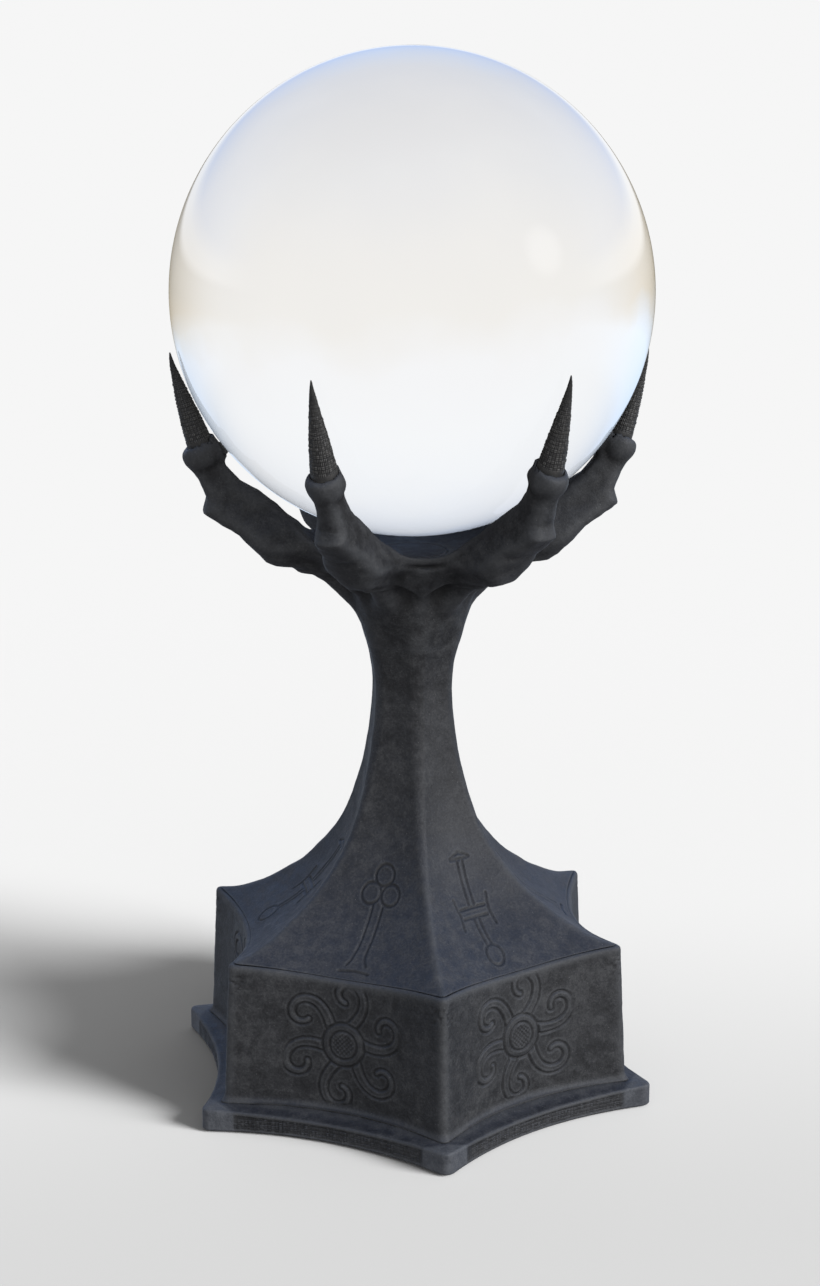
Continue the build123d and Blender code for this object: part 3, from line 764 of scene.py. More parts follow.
def stem_radius(azimuth, height):
    """Flare under the palm: six-sided at its foot, higher up a keel to each finger between hollows."""
    web = np.where(height < COLUMN_TOP, ridge_radius(height), read_off(stem_web, height))
    keel = np.where(height < COLUMN_TOP, face_radius(height), read_off(stem_keel, height))
    share = 1 - np.abs(from_face(azimuth)) / (TURN / 2)
    sharpness = 1 + 2 * ease((height - 158.0) / 14.0)
    hollow = read_off(stem_hollow, height) * np.sin(math.pi * share) ** 2
    flared = web + (keel - web) * ease(share) ** sharpness - hollow
    plain = six_sided(azimuth, web, keel, NECK_SOFT)
    tucked = SEAM_PROUD - SEAM_TUCK * ease((COLUMN_TOP - 2.6 - height) / 1.6)
    return plain + tucked + (flared - plain) * ease((height - COLUMN_TOP) / 12.0)


def palm_distance(radius, azimuth, height):
    """Distance to the stem and palm, without fingers."""
    from_web = TURN / 2 - np.abs(from_face(azimuth))
    stem = (radius - stem_radius(azimuth, height)) * 0.75
    web, root = read_off(palm_web, height), read_off(palm_root, height)
    palm = (radius - six_sided(azimuth, web, root, PALM_SOFT)) * 0.8
    palm = soft_max(palm, read_off(palm_edge, np.degrees(from_web)) - height, 1.2)
    aside = from_web / math.radians(14)
    crease = np.exp(-((height - CREASE_HEIGHT - 1.4 * aside ** 2) / 0.8) ** 2) * ease(1.1 - aside)
    return soft_max(soft_min(stem, palm, 0.8), height - PALM_TOP, 1.0) + CREASE_DEPTH * crease


def hand_distance(x, y, z):
    """Roughly how far a point is from the surface of the claw hand, negative inside."""
    radius, azimuth = np.hypot(x, y), np.arctan2(y, x)
    angle = np.abs(from_face(azimuth))
    out, across = radius * np.cos(angle), radius * np.sin(angle)
    fingers = soft_min(finger_distance(out, across, z),
                       finger_distance(radius * np.cos(TURN - angle), radius * np.sin(TURN - angle), z), 4.0)
    # fingers run ever more softly into the stem and palm with height
    blend = 0.4 + 1.8 * ease((z - COLUMN_TOP) / 16.0) + 3.4 * ease((z - 173.0) / 5.0)
    hand = soft_min(fingers, palm_distance(radius, azimuth, z), blend)
    hand = soft_max(hand, (z - read_off(dish_curve, radius)) * 0.8, 1.6)
    ball = np.hypot(radius, z - BALL_CENTRE[2]) - BALL_RADIUS - BALL_GAP
    hand = soft_max(hand, -ball, 0.6)
    rod_recess = np.maximum(radius - RECESS_RADIUS, PALM_RECESS_FLOOR - z)
    plug_seat = np.maximum(radius - plug_high[0] - 0.1, plug_low[2] - z)
    for opening in (collar_holes(out, across, z), radius - ROD_BORE, rod_recess, plug_seat):
        hand = np.maximum(hand, -opening)
    return np.maximum(hand, COLUMN_TOP - SEAM_LAP - z)


def surface_of(distance, low, high, step):
    """Closed quad mesh where distance is zero, one vertex per grid cell that the surface crosses."""
    axes = [np.arange(a, b + step, step) for a, b in zip(low, high)]
    field = np.empty([len(a) for a in axes], np.float32)
    for i, x in enumerate(axes[0]):
        y, z = np.meshgrid(axes[1], axes[2], indexing="ij")
        field[i] = distance(np.full_like(y, x), y, z)
    inside = field < 0
    corner = [inside[dx:inside.shape[0] - 1 + dx, dy:inside.shape[1] - 1 + dy, dz:inside.shape[2] - 1 + dz]
              for dx in (0, 1) for dy in (0, 1) for dz in (0, 1)]
    count = sum(c.astype(np.int8) for c in corner)
    active = np.argwhere((count > 0) & (count < 8))
    number = np.full(count.shape, -1, np.int64)
    number[tuple(active.T)] = np.arange(len(active))
    total = np.zeros((len(active), 3))
    crossings = np.zeros(len(active))
    quads = []
    for axis in range(3):
        ahead, u, v = (np.roll(unit, axis) for unit in np.eye(3, dtype=int))
        for start in (0 * u, v, u, u + v):      # the four edges of a cell that run along this axis
            a, b = field[tuple((active + start).T)], field[tuple((active + start + ahead).T)]
            crossed = (a < 0) != (b < 0)
            t = np.where(crossed, a / np.where(crossed, a - b, 1), 0)
            total += crossed[:, None] * (start + ahead * t[:, None])
            crossings += crossed
        a = inside[tuple(slice(0, n - d) for n, d in zip(inside.shape, ahead))]
        b = inside[tuple(slice(d, n) for n, d in zip(inside.shape, ahead))]
        place = np.argwhere(a != b)
        quad = np.stack([number[tuple((place - back).T)] for back in (u + v, v, 0 * u, u)], -1)
        outwards = a[tuple(place.T)]
        quads.append(np.where(outwards[:, None], quad, quad[:, ::-1]))
    return np.array(low) + (active + total / crossings[:, None]) * step, np.concatenate(quads)


def slope_of(distance, verts, step=0.05):
    """How steeply a distance grows along x, y and z at each vertex."""
    parts = []
    for axis in range(3):
        shift = np.zeros(3)
        shift[axis] = step
        parts.append((distance(*(verts + shift).T) - distance(*(verts - shift).T)) / (2 * step))
    return np.stack(parts, -1)


def make_hand():
    """The hand as one surface, brought onto its exact shape and roughened like a casting."""
    step = 0.7
    low = np.array([hand_low[0] - 2, hand_low[1] - 2, COLUMN_TOP - SEAM_LAP - 1.3 * step])
    high = np.array([hand_high[0] + 2, hand_high[1] + 2, 218.0])
    verts, quads = surface_of(hand_distance, low, high, step)
    for _ in range(3):
        slope = slope_of(hand_distance, verts)
        size = np.maximum((slope ** 2).sum(-1, keepdims=True), 0.2)
        move = hand_distance(*verts.T)[:, None] * slope / size
        verts = verts - np.clip(move, -0.4 * step, 0.4 * step)
    slope = slope_of(hand_distance, verts, 0.4)
    slope /= np.maximum(np.linalg.norm(slope, axis=-1, keepdims=True), 1e-6)
    fade = ease((verts[:, 2] - COLUMN_TOP) / 5.0) * ease((np.hypot(verts[:, 0], verts[:, 1]) - 12.0) / 3.0)
    relief = uneven(verts, 7.0, 0.26, 31) + uneven(verts, 2.4, 0.09, 37)
    verts = verts + slope * (relief * fade)[:, None]
    return mesh_piece("claw_hand_casting", verts, [quads], "claw_hand", hand_iron)


# ---------------------------------------------------------------- talons
CELLS_AROUND = 21
CELL_HEIGHT = 1.15
CELLS_START = 4.5               # along the talon, just under the collar's top
CELL_RELIEF = 0.32
CELL_SINK = 0.2                 # how far the joints between cells lie under the talon's plain surface


def make_talon(index):
    """Talon whose skin is woven cells, with a spigot down into its collar."""
    rows = talon_rows(0.2 * FINE)
    travelled = length_along(rows[:, :2])
    tangent = np.gradient(rows[:, :2], axis=0)
    tangent /= np.linalg.norm(tangent, axis=1, keepdims=True)
    around = np.linspace(0, 2 * math.pi, int(160 / FINE), endpoint=False)
    u, v = around[None, :] * CELLS_AROUND / (2 * math.pi), travelled[:, None] / CELL_HEIGHT
    visible = ease(travelled - CELLS_START)[:, None]
    thinner = np.minimum(rows[:, 2:3] / SPIGOT_RADIUS, 1.0)
    relief = CELL_RELIEF * basket(u, v, 5 + index, CELLS_AROUND) - CELL_SINK
    radius = rows[:, 2:3] + relief * visible * thinner
    out = rows[:, 0:1] + radius * np.cos(around) * tangent[:, 1:2]
    up = rows[:, 1:2] - radius * np.cos(around) * tangent[:, 0:1]
    rings = turned(np.stack([out, radius * np.sin(around), up], -1), index * TURN)
    number = index + 1
    return ring_piece(f"claw_tip_{number}", rings, f"talon_{number}", talon_horn, loop=False)


# ---------------------------------------------------------------- pads and ball
BASE_PAD_INSET = 7.4
POLISH_WAVES = 0.02


def make_base_pad():
    """Felt under the foot plate, with soft edges."""
    azimuth = side_stations(1.0)
    edge = six_sided(azimuth, FOOT_CORNER - BASE_PAD_INSET, FOOT_FACE - BASE_PAD_INSET, 3.0)
    profile = [(edge * share, 0.0) for share in (0.02, 0.35, 0.7, 0.9, 0.97)]
    profile += [(edge - 0.2, 0.12), (edge, 0.5), (edge, PAD_TOP - 0.5), (edge - 0.2, PAD_TOP - 0.05)]
    profile += [(edge * share, PAD_TOP - 0.02) for share in (0.9, 0.5, 0.02)]
    rings = np.array(rings_of(azimuth, profile))
    rings[..., 2] += 0.05 * (noise(rings, 3.0, 41) + 1) * (rings[..., 2] < 0.3)
    return ring_piece("felt_base", rings, "base_pad", felt, loop=False)


def seat_pad_rings():
    """Felt button towards +X that the ball rests on: hollowed to fit the ball, with a rounded rim."""
    around = np.linspace(0, 2 * math.pi, int(48 / FINE), endpoint=False)
    front = BALL_RADIUS + SOCKET_GAP
    # (radius, distance from the ball's centre) from the middle of the back to the middle of the front
    profile = [(0.2, SEAT_PAD_BACK), (1.9, SEAT_PAD_BACK), (2.25, SEAT_PAD_BACK - 0.35), (2.28, 76.6),
               (2.25, front + 0.4), (2.05, front + 0.12), (1.7, front + 0.01), (1.0, front), (0.2, front)]
    reach = math.hypot(*SEAT_PAD_DIRECTION)
    ahead = np.array([SEAT_PAD_DIRECTION[0], 0, SEAT_PAD_DIRECTION[1]]) / reach
    side = np.array([0.0, 1.0, 0.0])
    up = np.cross(ahead, side)
    rings = []
    for radius, distance in profile:
        circle = radius * (np.cos(around)[:, None] * side + np.sin(around)[:, None] * up)
        along = distance if distance > front + 0.3 else math.sqrt(distance ** 2 - radius ** 2)
        rings.append(BALL_CENTRE + circle + ahead * along)
    return np.array(rings)


def make_seat_pads():
    pad_verts, pad_faces = solid_from_rings(seat_pad_rings(), loop=False)
    verts = np.concatenate([turned(pad_verts, index * TURN) for index in range(SIDES)])
    faces = [face + index * len(pad_verts) for index in range(SIDES) for face in pad_faces]
    return mesh_piece("ball_rests", verts, faces, "seat_pads", felt)


def fine_sphere(centre, radius, divisions):
    """Vertices and triangles of an evenly divided sphere."""
    ball = bmesh.new()
    bmesh.ops.create_icosphere(ball, subdivisions=divisions, radius=1.0)
    verts = np.array([v.co for v in ball.verts])
    faces = np.array([[v.index for v in f.verts] for f in ball.faces])
    ball.free()
    verts /= np.linalg.norm(verts, axis=1, keepdims=True)
    return verts * radius + centre, faces


def make_ball():
    """Glass ball; hand polishing leaves it round to a few hundredths of a millimetre."""
    verts, faces = fine_sphere(BALL_CENTRE, BALL_RADIUS, 7)
    outward = (verts - BALL_CENTRE) / BALL_RADIUS
    verts = verts + outward * (POLISH_WAVES * (noise(verts, 30.0, 61) - 1))[:, None]
    return mesh_piece("glass_ball", verts, [faces], "crystal_ball", glass, body="ball")


# ---------------------------------------------------------------- material helpers
def node(tree, kind, inputs=None, **settings):
    """New node; inputs maps an input's name or number to a value or to another node's output."""
    made = tree.nodes.new(kind)
    for key, value in settings.items():
        setattr(made, key, value)
    for key, value in (inputs or {}).items():
        if isinstance(value, bpy.types.NodeSocket):
            tree.links.new(value, made.inputs[key])
        else:
            made.inputs[key].default_value = value
    return made


def new_material(name):
    material = bpy.data.materials.new(name)
    material.use_nodes = True
    material.node_tree.nodes.clear()
    return material, material.node_tree


def place_of(tree):
    return node(tree, "ShaderNodeTexCoord").outputs["Object"]


def noise_of(tree, where, size, detail=4.0, roughness=0.55):
    """Noise whose features are about size millimetres across."""
    inputs = {"Vector": where, "Scale": 1 / (size * MM), "Detail": detail, "Roughness": roughness}
    return node(tree, "ShaderNodeTexNoise", inputs).outputs["Fac"]


def ramp_of(tree, value, stops):
    """Colour ramp from (position, (r, g, b)) stops."""
    made = node(tree, "ShaderNodeValToRGB", {"Fac": value})
    elements = made.color_ramp.elements
    while len(elements) < len(stops):
        elements.new(0.5)
    for element, (position, colour) in zip(elements, stops):
        element.position = position
        element.color = (*colour, 1)
    return made.outputs["Color"]


def maths(tree, operation, a, b=0.0):
    return node(tree, "ShaderNodeMath", {0: a, 1: b}, operation=operation).outputs[0]


def vector_maths(tree, operation, a, b=(0, 0, 0), output="Vector"):
    return node(tree, "ShaderNodeVectorMath", {0: a, 1: b}, operation=operation).outputs[output]


def part_of(tree, vector, axis):
    return node(tree, "ShaderNodeSeparateXYZ", {0: vector}).outputs[axis]


def weighed(tree, *parts):
    """Sum of (value, weight) pairs."""
    total = 0.0
    for value, weight in parts:
        total = maths(tree, "ADD", total, maths(tree, "MULTIPLY", value, weight))
    return total


def span_of(tree, value, low, high, to_low=0.0, to_high=1.0):
    """Value taken from the range low..high to to_low..to_high, smoothly, clamped."""
    inputs = {"Value": value, "From Min": low, "From Max": high, "To Min": to_low, "To Max": to_high}
    return node(tree, "ShaderNodeMapRange", inputs, interpolation_type="SMOOTHSTEP").outputs["Result"]


def mix_of(tree, share, a, b, blend="MIX"):
    """Colour a with a share of colour b; each is a colour or another node's output."""
    made = node(tree, "ShaderNodeMix", {0: share}, data_type="RGBA", blend_type=blend)
    for slot_number, value in ((6, a), (7, b)):
        if isinstance(value, bpy.types.NodeSocket):
            tree.links.new(value, made.inputs[slot_number])
        else:
            made.inputs[slot_number].default_value = (*value, 1)
    return made.outputs[2]


def marked(tree, colour, attribute, share, tint):
    """Colour, with a share of tint where the mesh's wear or sunk depth is full."""
    amount = node(tree, "ShaderNodeAttribute", attribute_name=attribute).outputs["Fac"]
    return mix_of(tree, maths(tree, "MULTIPLY", amount, share), colour, tint)


def bump_of(tree, height, strength, depth):
    """Normal from a height map; depth is the full height in millimetres."""
    inputs = {"Height": height, "Strength": strength, "Distance": depth * MM}
    return node(tree, "ShaderNodeBump", inputs).outputs["Normal"]


def scaled(tree, colour, factor):
    return node(tree, "ShaderNodeVectorMath", {0: colour, 3: factor}, operation="SCALE").outputs[0]


def mixed_shader(tree, share, a, b):
    return node(tree, "ShaderNodeMixShader", {0: share, 1: a, 2: b}).outputs[0]


def finish_material(tree, **inputs):
    shader = node(tree, "ShaderNodeBsdfPrincipled", {k.replace("_", " "): v for k, v in inputs.items()})
    node(tree, "ShaderNodeOutputMaterial", {"Surface": shader.outputs[0]})


# ---------------------------------------------------------------- materials
IRON_DARK = (0.0108, 0.011, 0.0125)
IRON_MIDDLE = (0.0255, 0.0262, 0.029)
IRON_PALE = (0.052, 0.053, 0.0565)
RUBBED_DARK, RUBBED_PALE = (0.058, 0.063, 0.076), (0.118, 0.126, 0.144)
RUBBED_FROM, RUBBED_TO = 75.8, 77.4      # distance from the axis where only the foot plate's corners reach
GLASS_IOR = 1.5
GLASS_COLOUR = (0.995, 0.995, 0.995, 1)
GLASS_SHADOW = (0.3, 0.3, 0.3, 1)        # share of the light that each side of the ball lets into its shadow


def iron_material(name, lightness, specks):
    """Blackened cast iron: mottled charcoal, paler grains, rubbed edges and foot corners, darker hollows, and
    a painted bluish sky reflection on up-facing surfaces.
    """
    material, tree = new_material(name)
    where = place_of(tree)
    broad = noise_of(tree, where, 16.0, 3.0)
    patches = noise_of(tree, where, 3.4, 5.0, 0.65)
    grain = noise_of(tree, where, 0.75, 4.0, 0.75)
    mottle = weighed(tree, (broad, 0.2), (patches, 0.42), (grain, 0.38))
    dark, middle, pale = (tuple(c * lightness for c in rgb) for rgb in (IRON_DARK, IRON_MIDDLE, IRON_PALE))
    colour = ramp_of(tree, mottle, [(0.41, dark), (0.5, middle), (0.60, pale)])
    rust = span_of(tree, noise_of(tree, where, 1.6, 4.0, 0.7), 0.66, 0.78, 0, 0.35)
    colour = mix_of(tree, rust, colour, (0.050, 0.036, 0.026))
    # painted reflection: up-facing surfaces get a bluish tint added to their colour in place of the sky
    # mirrored in them
    upward = part_of(tree, node(tree, "ShaderNodeNewGeometry").outputs["Normal"], "Z")
    colour = mix_of(tree, span_of(tree, upward, 0.1, 0.9), colour, (0.005, 0.007, 0.014), "ADD")
    colour = marked(tree, colour, "wear", 0.3, (0.10, 0.105, 0.115))
    level = vector_maths(tree, "MULTIPLY", where, (1, 1, 0))
    outward = vector_maths(tree, "LENGTH", level, output="Value")
    handled = span_of(tree, outward, RUBBED_FROM * MM, RUBBED_TO * MM, 0, 0.9)
    rubbed = ramp_of(tree, mottle, [(0.41, RUBBED_DARK), (0.60, RUBBED_PALE)])
    colour = mix_of(tree, handled, colour, rubbed)
    speck = span_of(tree, noise_of(tree, where, 0.5, 2.0, 0.8), 0.70, 0.76, 0, specks)
    colour = mix_of(tree, speck, colour, (0.25, 0.25, 0.26))
    # darker where the surface lies sunk below its surroundings
    colour = marked(tree, colour, "sunk_depth", 0.6, (0.009, 0.009, 0.010))
    roughness = span_of(tree, patches, 0.3, 0.7, 0.52, 0.74)
    normal = bump_of(tree, weighed(tree, (patches, 0.5), (grain, 0.5)), 0.7, 0.4)
    finish_material(tree, Base_Color=colour, Roughness=roughness, Normal=normal)
    return material


def talon_material():
    """Horn-like black tips: darker in the joints between the cells, polished on their crowns."""
    material, tree = new_material("talon_horn")
    where = place_of(tree)
    patches = noise_of(tree, where, 2.2, 4.0, 0.6)
    colour = ramp_of(tree, patches, [(0.35, (0.010, 0.010, 0.011)), (0.65, (0.026, 0.025, 0.024))])
    colour = marked(tree, colour, "wear", 0.9, (0.21, 0.205, 0.20))
    colour = marked(tree, colour, "sunk_depth", 0.9, (0.004, 0.004, 0.004))
    roughness = span_of(tree, patches, 0.3, 0.7, 0.42, 0.62)
    normal = bump_of(tree, noise_of(tree, where, 0.35, 3.0), 0.4, 0.12)
    finish_material(tree, Base_Color=colour, Roughness=roughness, Normal=normal)
    return material


def steel_material():
    """Zinc-plated steel: paler and darker patches, fine turning marks round Z."""
    material, tree = new_material("zinc_steel")
    where = place_of(tree)
    patches = noise_of(tree, where, 3.0, 4.0)
    colour = ramp_of(tree, patches, [(0.35, (0.52, 0.53, 0.52)), (0.65, (0.65, 0.6625, 0.65))])
    stretched = vector_maths(tree, "MULTIPLY", where, (0.2, 0.2, 3.0))
    roughness = span_of(tree, patches, 0.3, 0.7, 0.24, 0.42)
    normal = bump_of(tree, noise_of(tree, stretched, 0.4, 2.0), 0.25, 0.05)
    finish_material(tree, Base_Color=colour, Metallic=1.0, Roughness=roughness, Normal=normal)
    return material


def felt_material():
    """Pressed wool felt: tangled fibres in two greys with a soft sheen."""
    material, tree = new_material("wool_felt")
    where = place_of(tree)
    along = noise_of(tree, vector_maths(tree, "MULTIPLY", where, (0.6, 1.9, 1.0)), 0.45, 5.0, 0.8)
    fibres = maths(tree, "MAXIMUM", along, noise_of(tree, where, 0.3, 5.0, 0.8))
    greys = [(0.4, (0.018, 0.02, 0.022)), (0.62, (0.075, 0.078, 0.082)), (0.8, (0.17, 0.17, 0.17))]
    colour = ramp_of(tree, fibres, greys)
    normal = bump_of(tree, fibres, 0.8, 0.5)
    finish_material(tree, Base_Color=colour, Roughness=0.95, Normal=normal, Sheen_Weight=0.4)
    return material


def glass_material():
    """Clear glass: mirrors only on its outside, bends light both ways, lets light through to the floor."""
    material, tree = new_material("clear_glass")
    smooth = {"Roughness": 0.0, "IOR": GLASS_IOR}
    outside = {"Base Color": GLASS_COLOUR, "Transmission Weight": 1.0, **smooth}
    entering = node(tree, "ShaderNodeBsdfPrincipled", outside).outputs[0]
    leaving = node(tree, "ShaderNodeBsdfRefraction", {"Color": GLASS_COLOUR, **smooth}).outputs[0]
    inside = node(tree, "ShaderNodeNewGeometry").outputs["Backfacing"]
    shadow = node(tree, "ShaderNodeLightPath").outputs["Is Shadow Ray"]
    straight_through = node(tree, "ShaderNodeBsdfTransparent", {"Color": GLASS_SHADOW}).outputs[0]
    surface = mixed_shader(tree, shadow, mixed_shader(tree, inside, entering, leaving), straight_through)
    node(tree, "ShaderNodeOutputMaterial", {"Surface": surface})
    return material


# ---------------------------------------------------------------- studio
CAMERA_AT = (-99.2, -748.5, 340.0)
CAMERA_HEADING = 82.5           # azimuth that the camera looks towards
CAMERA_PITCH = 14.4
CAMERA_LENS = 68.03
BACKDROP = (0.921, 0.921, 0.921)
KEY_AZIMUTH = -36.0
KEY_ELEVATION = 22.0
KEY_SPREAD = 27.0
KEY_STRENGTH = 1.6
FLOOR_KEY_STRENGTH = 11.2
FLOOR_COLOUR = (0.44, 0.44, 0.44)
SKY_AZIMUTH = -82.0             # the brighter half of the sky is centred here
FILL_AZIMUTH = 62.5             # a weaker light from behind the object
FILL_ELEVATION = 25.0
LAMP_AZIMUTH = -30.5            # where the ball shows a soft bright spot
LAMP_ELEVATION = 19.0
LAMP_RADIUS = 12.0              # degrees
HORIZON_TILT = 0.09             # the horizon seen in the ball stands higher to the camera's right
HORIZON_WAVER = 0.045           # and wavers this much either way
CLOUD_SIZE = 384.6              # how broad the waves are, in thousandths of a radian
BALL_DIMMING = 0.4              # share of the sky's light that reaches the palm through the ball

# what each kind of ray finds at each elevation, from straight down to straight up
LIGHT_SKY = [(-90, (0.16, 0.16, 0.16)), (-5, (0.34, 0.34, 0.34)), (8, (0.70, 0.70, 0.70))]
GLASS_SKY = [(-90, (0.70, 0.76, 0.86)), (-66, (0.70, 0.73, 0.79)), (-55, (0.73, 0.73, 0.74)),
             (-40, (0.78, 0.775, 0.775)), (-25, (0.83, 0.825, 0.82)), (-12, (0.885, 0.87, 0.845)),
             (-3, (0.905, 0.89, 0.86)), (5, (0.945, 0.95, 0.96)), (15, (0.955, 0.97, 0.985)),
             (35, (0.94, 0.965, 1.0)), (60, (0.86, 0.91, 1.0)), (90, (0.72, 0.82, 1.0))]
SIDE_SKY = [(-90, (0.40, 0.56, 0.86)), (-62, (0.46, 0.60, 0.84)), (-48, (0.63, 0.68, 0.76)),
            (-25, (0.78, 0.77, 0.76)), (-12, (0.82, 0.78, 0.71)), (0, (0.84, 0.78, 0.68)),
            (8, (0.86, 0.92, 1.0)), (20, (0.78, 0.90, 1.06)), (45, (0.70, 0.87, 1.10)),
            (90, (0.60, 0.80, 1.10))]
MIRROR_SKY = [(-90, (0.19, 0.19, 0.20)), (-26, (0.22, 0.24, 0.30)), (-20, (0.52, 0.62, 0.80)),
              (-11, (0.66, 0.80, 0.98)), (-7.5, (0.34, 0.29, 0.20)), (-5, (0.20, 0.17, 0.11)),
              (0.5, (0.20, 0.17, 0.11)), (3, (1.00, 1.01, 1.03)), (7, (0.98, 1.03, 1.12)),
              (12.5, (0.36, 0.54, 0.96)), (40, (0.46, 0.64, 1.0)), (90, (0.48, 0.60, 0.9))]
SOFT_SKY = [(-90, (0.19, 0.19, 0.20)), (-35, (0.20, 0.20, 0.21)), (10, (0.42, 0.42, 0.42)),
            (40, (0.50, 0.58, 0.76)), (90, (0.48, 0.60, 0.9))]


def heading(azimuth, rise):
    """Unit vector towards an azimuth and elevation in degrees."""
    turn, lift = math.radians(azimuth), math.radians(rise)
    return Vector((math.cos(turn) * math.cos(lift), math.sin(turn) * math.cos(lift), math.sin(lift)))


def sky_of(tree, height, stops):
    """Colour of a sky given as (elevation in degrees, colour) stops; height is the sine of an elevation."""
    places = [(0.5 + 0.5 * math.sin(math.radians(angle)), colour) for angle, colour in stops]
    return ramp_of(tree, weighed(tree, (1.0, 0.5), (height, 0.5)), places)


def make_world():
    """Plain backdrop for the camera; for other rays a soft sky over ground, coloured for each kind of ray."""
    world = bpy.data.worlds.new("studio")
    bpy.context.scene.world = world
    world.use_nodes = True
    tree = world.node_tree
    tree.nodes.clear()
    direction = node(tree, "ShaderNodeTexCoord").outputs["Generated"]
    height = part_of(tree, direction, "Z")

    def facing(azimuth, rise=0):
        return vector_maths(tree, "DOT_PRODUCT", direction, heading(azimuth, rise), "Value")

    bright_half, behind = facing(SKY_AZIMUTH), facing(CAMERA_HEADING)
    to_the_right = facing(CAMERA_HEADING - 90)

    # light on matt surfaces
    from_front = span_of(tree, bright_half, -0.4, 0.95, 0.03, 1.45)
    from_behind = span_of(tree, facing(FILL_AZIMUTH, FILL_ELEVATION), 0.2, 1.0, 0.0, 0.75)
    light = scaled(tree, sky_of(tree, height, LIGHT_SKY), maths(tree, "ADD", from_front, from_behind))

    # mirror reflections: crisp ones of what stands behind the ball, soft ones of what stands before it
    soft_mirror = sky_of(tree, height, SOFT_SKY)
    soft_mirror = scaled(tree, soft_mirror, span_of(tree, bright_half, -0.6, 0.6, 0.5, 1.1))
    mirror = mix_of(tree, span_of(tree, behind, -0.35, 0.35), soft_mirror, sky_of(tree, height, MIRROR_SKY))
    lamp_edge = math.cos(math.radians(LAMP_RADIUS))
    lamp = span_of(tree, facing(LAMP_AZIMUTH, LAMP_ELEVATION), lamp_edge, 0.999, 0, 1.1)
    mirror = mix_of(tree, 1.0, mirror, scaled(tree, (1, 1, 1), lamp), "ADD")

    # what is seen through the ball, which differs towards its left and right edges
    clouds = noise_of(tree, direction, CLOUD_SIZE, 4.0, 0.5)
    wavering = maths(tree, "ADD", height, span_of(tree, clouds, 0.3, 0.7, -HORIZON_WAVER, HORIZON_WAVER))
    wavering = maths(tree, "SUBTRACT", wavering, maths(tree, "MULTIPLY", to_the_right, HORIZON_TILT))
    side_look = sky_of(tree, wavering, SIDE_SKY)
    side_look = scaled(tree, side_look, span_of(tree, to_the_right, -0.9, 0.9, 1.12, 0.94))
    sideways = span_of(tree, maths(tree, "ABSOLUTE", to_the_right), 0.55, 0.97)
    glass_look = mix_of(tree, sideways, sky_of(tree, wavering, GLASS_SKY), side_look)

    ray = node(tree, "ShaderNodeLightPath").outputs
    bounces = maths(tree, "ADD", ray["Diffuse Depth"], ray["Glossy Depth"])
    from_camera = maths(tree, "LESS_THAN", bounces, 0.5)
    through_ball = mix_of(tree, from_camera, scaled(tree, light, BALL_DIMMING), glass_look)
    look = mix_of(tree, ray["Is Glossy Ray"], light, mirror)
    look = mix_of(tree, ray["Is Transmission Ray"], look, through_ball)
    look = mix_of(tree, ray["Is Camera Ray"], look, BACKDROP)
    lit = node(tree, "ShaderNodeBackground", {"Color": look})
    node(tree, "ShaderNodeOutputWorld", {"Surface": lit.outputs[0]})


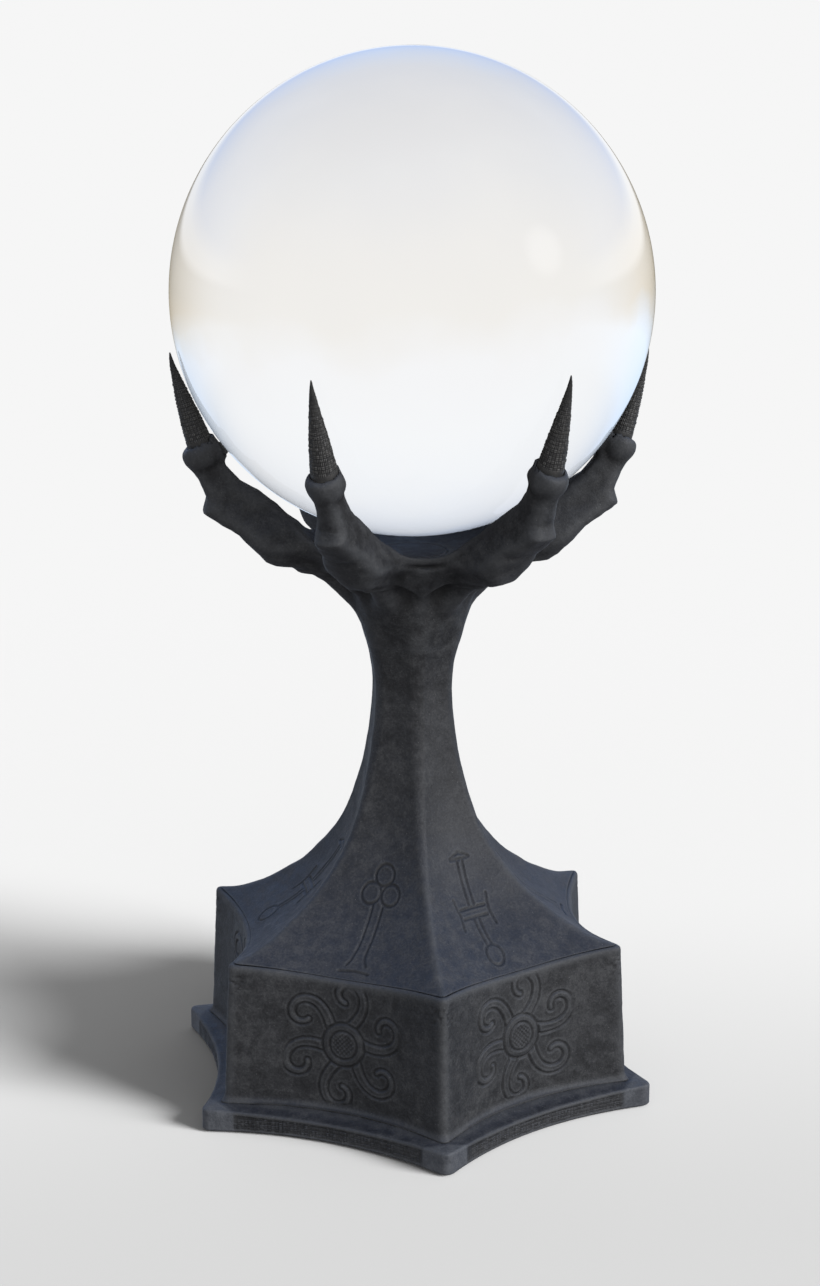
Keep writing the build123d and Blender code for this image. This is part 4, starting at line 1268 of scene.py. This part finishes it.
def make_floor():
    """Pale floor with painted shade, darker towards the front and lighter behind, that fades into the
    backdrop with distance and can't be seen from below.
    """
    bpy.ops.mesh.primitive_plane_add(size=60.0, location=(0, 0, -0.0002))
    floor = bpy.context.object
    floor.name = "floor"
    floor.visible_transmission = False
    floor.visible_diffuse = False
    floor.visible_glossy = False
    material, tree = new_material("pale_floor")
    where = place_of(tree)
    far_off = span_of(tree, vector_maths(tree, "LENGTH", where, output="Value"), 0.26, 0.85)
    # painted shade and light: the floor's colour darkens towards the front (-Y) and brightens behind the
    # object
    shaded_paint = scaled(tree, FLOOR_COLOUR, span_of(tree, part_of(tree, where, "Y"), -0.14, 0.16, 0.80, 1.02))
    matt = node(tree, "ShaderNodeBsdfDiffuse", {"Color": shaded_paint}).outputs[0]
    glow = node(tree, "ShaderNodeEmission", {"Color": (*BACKDROP, 1)}).outputs[0]
    gone = node(tree, "ShaderNodeBsdfTransparent").outputs[0]
    below = node(tree, "ShaderNodeNewGeometry").outputs["Backfacing"]
    surface = mixed_shader(tree, below, mixed_shader(tree, far_off, matt, glow), gone)
    node(tree, "ShaderNodeOutputMaterial", {"Surface": surface})
    floor.data.materials.append(material)
    return floor


def make_key_light(name, strength, linked, state):
    """Broad soft light from the right that shines only on the linked object, or leaves it out."""
    data = bpy.data.lights.new(name, "SUN")
    data.angle = math.radians(KEY_SPREAD)
    data.energy = strength
    key = bpy.data.objects.new(name, data)
    key.rotation_euler = heading(KEY_AZIMUTH, KEY_ELEVATION).to_track_quat("Z", "Y").to_euler()
    key.visible_transmission = False
    bpy.context.scene.collection.objects.link(key)
    receivers = bpy.data.collections.new(name + "_receivers")
    receivers.objects.link(linked)
    key.light_linking.receiver_collection = receivers
    receivers.collection_objects[0].light_linking.link_state = state


def make_camera():
    data = bpy.data.cameras.new("camera")
    data.lens = CAMERA_LENS
    camera = bpy.data.objects.new("camera", data)
    camera.location = Vector(CAMERA_AT) * MM
    camera.rotation_euler = heading(CAMERA_HEADING, -CAMERA_PITCH).to_track_quat("-Z", "Y").to_euler()
    bpy.context.scene.collection.objects.link(camera)
    bpy.context.scene.camera = camera


# ---------------------------------------------------------------- build
iron = iron_material("cast_iron", 1.08, 0.8)
hand_iron = iron_material("claw_iron", 0.96, 1.0)
talon_horn = talon_material()
steel = steel_material()
felt = felt_material()
glass = glass_material()

make_column()
make_plinth()
make_foot_plate()
make_hand()
for talon_index in range(SIDES):
    make_talon(talon_index)
make_base_pad()
make_seat_pads()
glass_ball = make_ball()

for name, cad_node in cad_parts.items():
    if not cad_node.hide_render:
        cad_node.data.materials.clear()
        cad_node.data.materials.append(hand_iron if name == "palm_plug" else steel)

make_world()
make_key_light("key", KEY_STRENGTH, glass_ball, "EXCLUDE")      # the ball would mirror the lamp
make_key_light("floor_key", FLOOR_KEY_STRENGTH, make_floor(), "INCLUDE")
make_camera()
bpy.context.scene.view_settings.view_transform = "Standard"
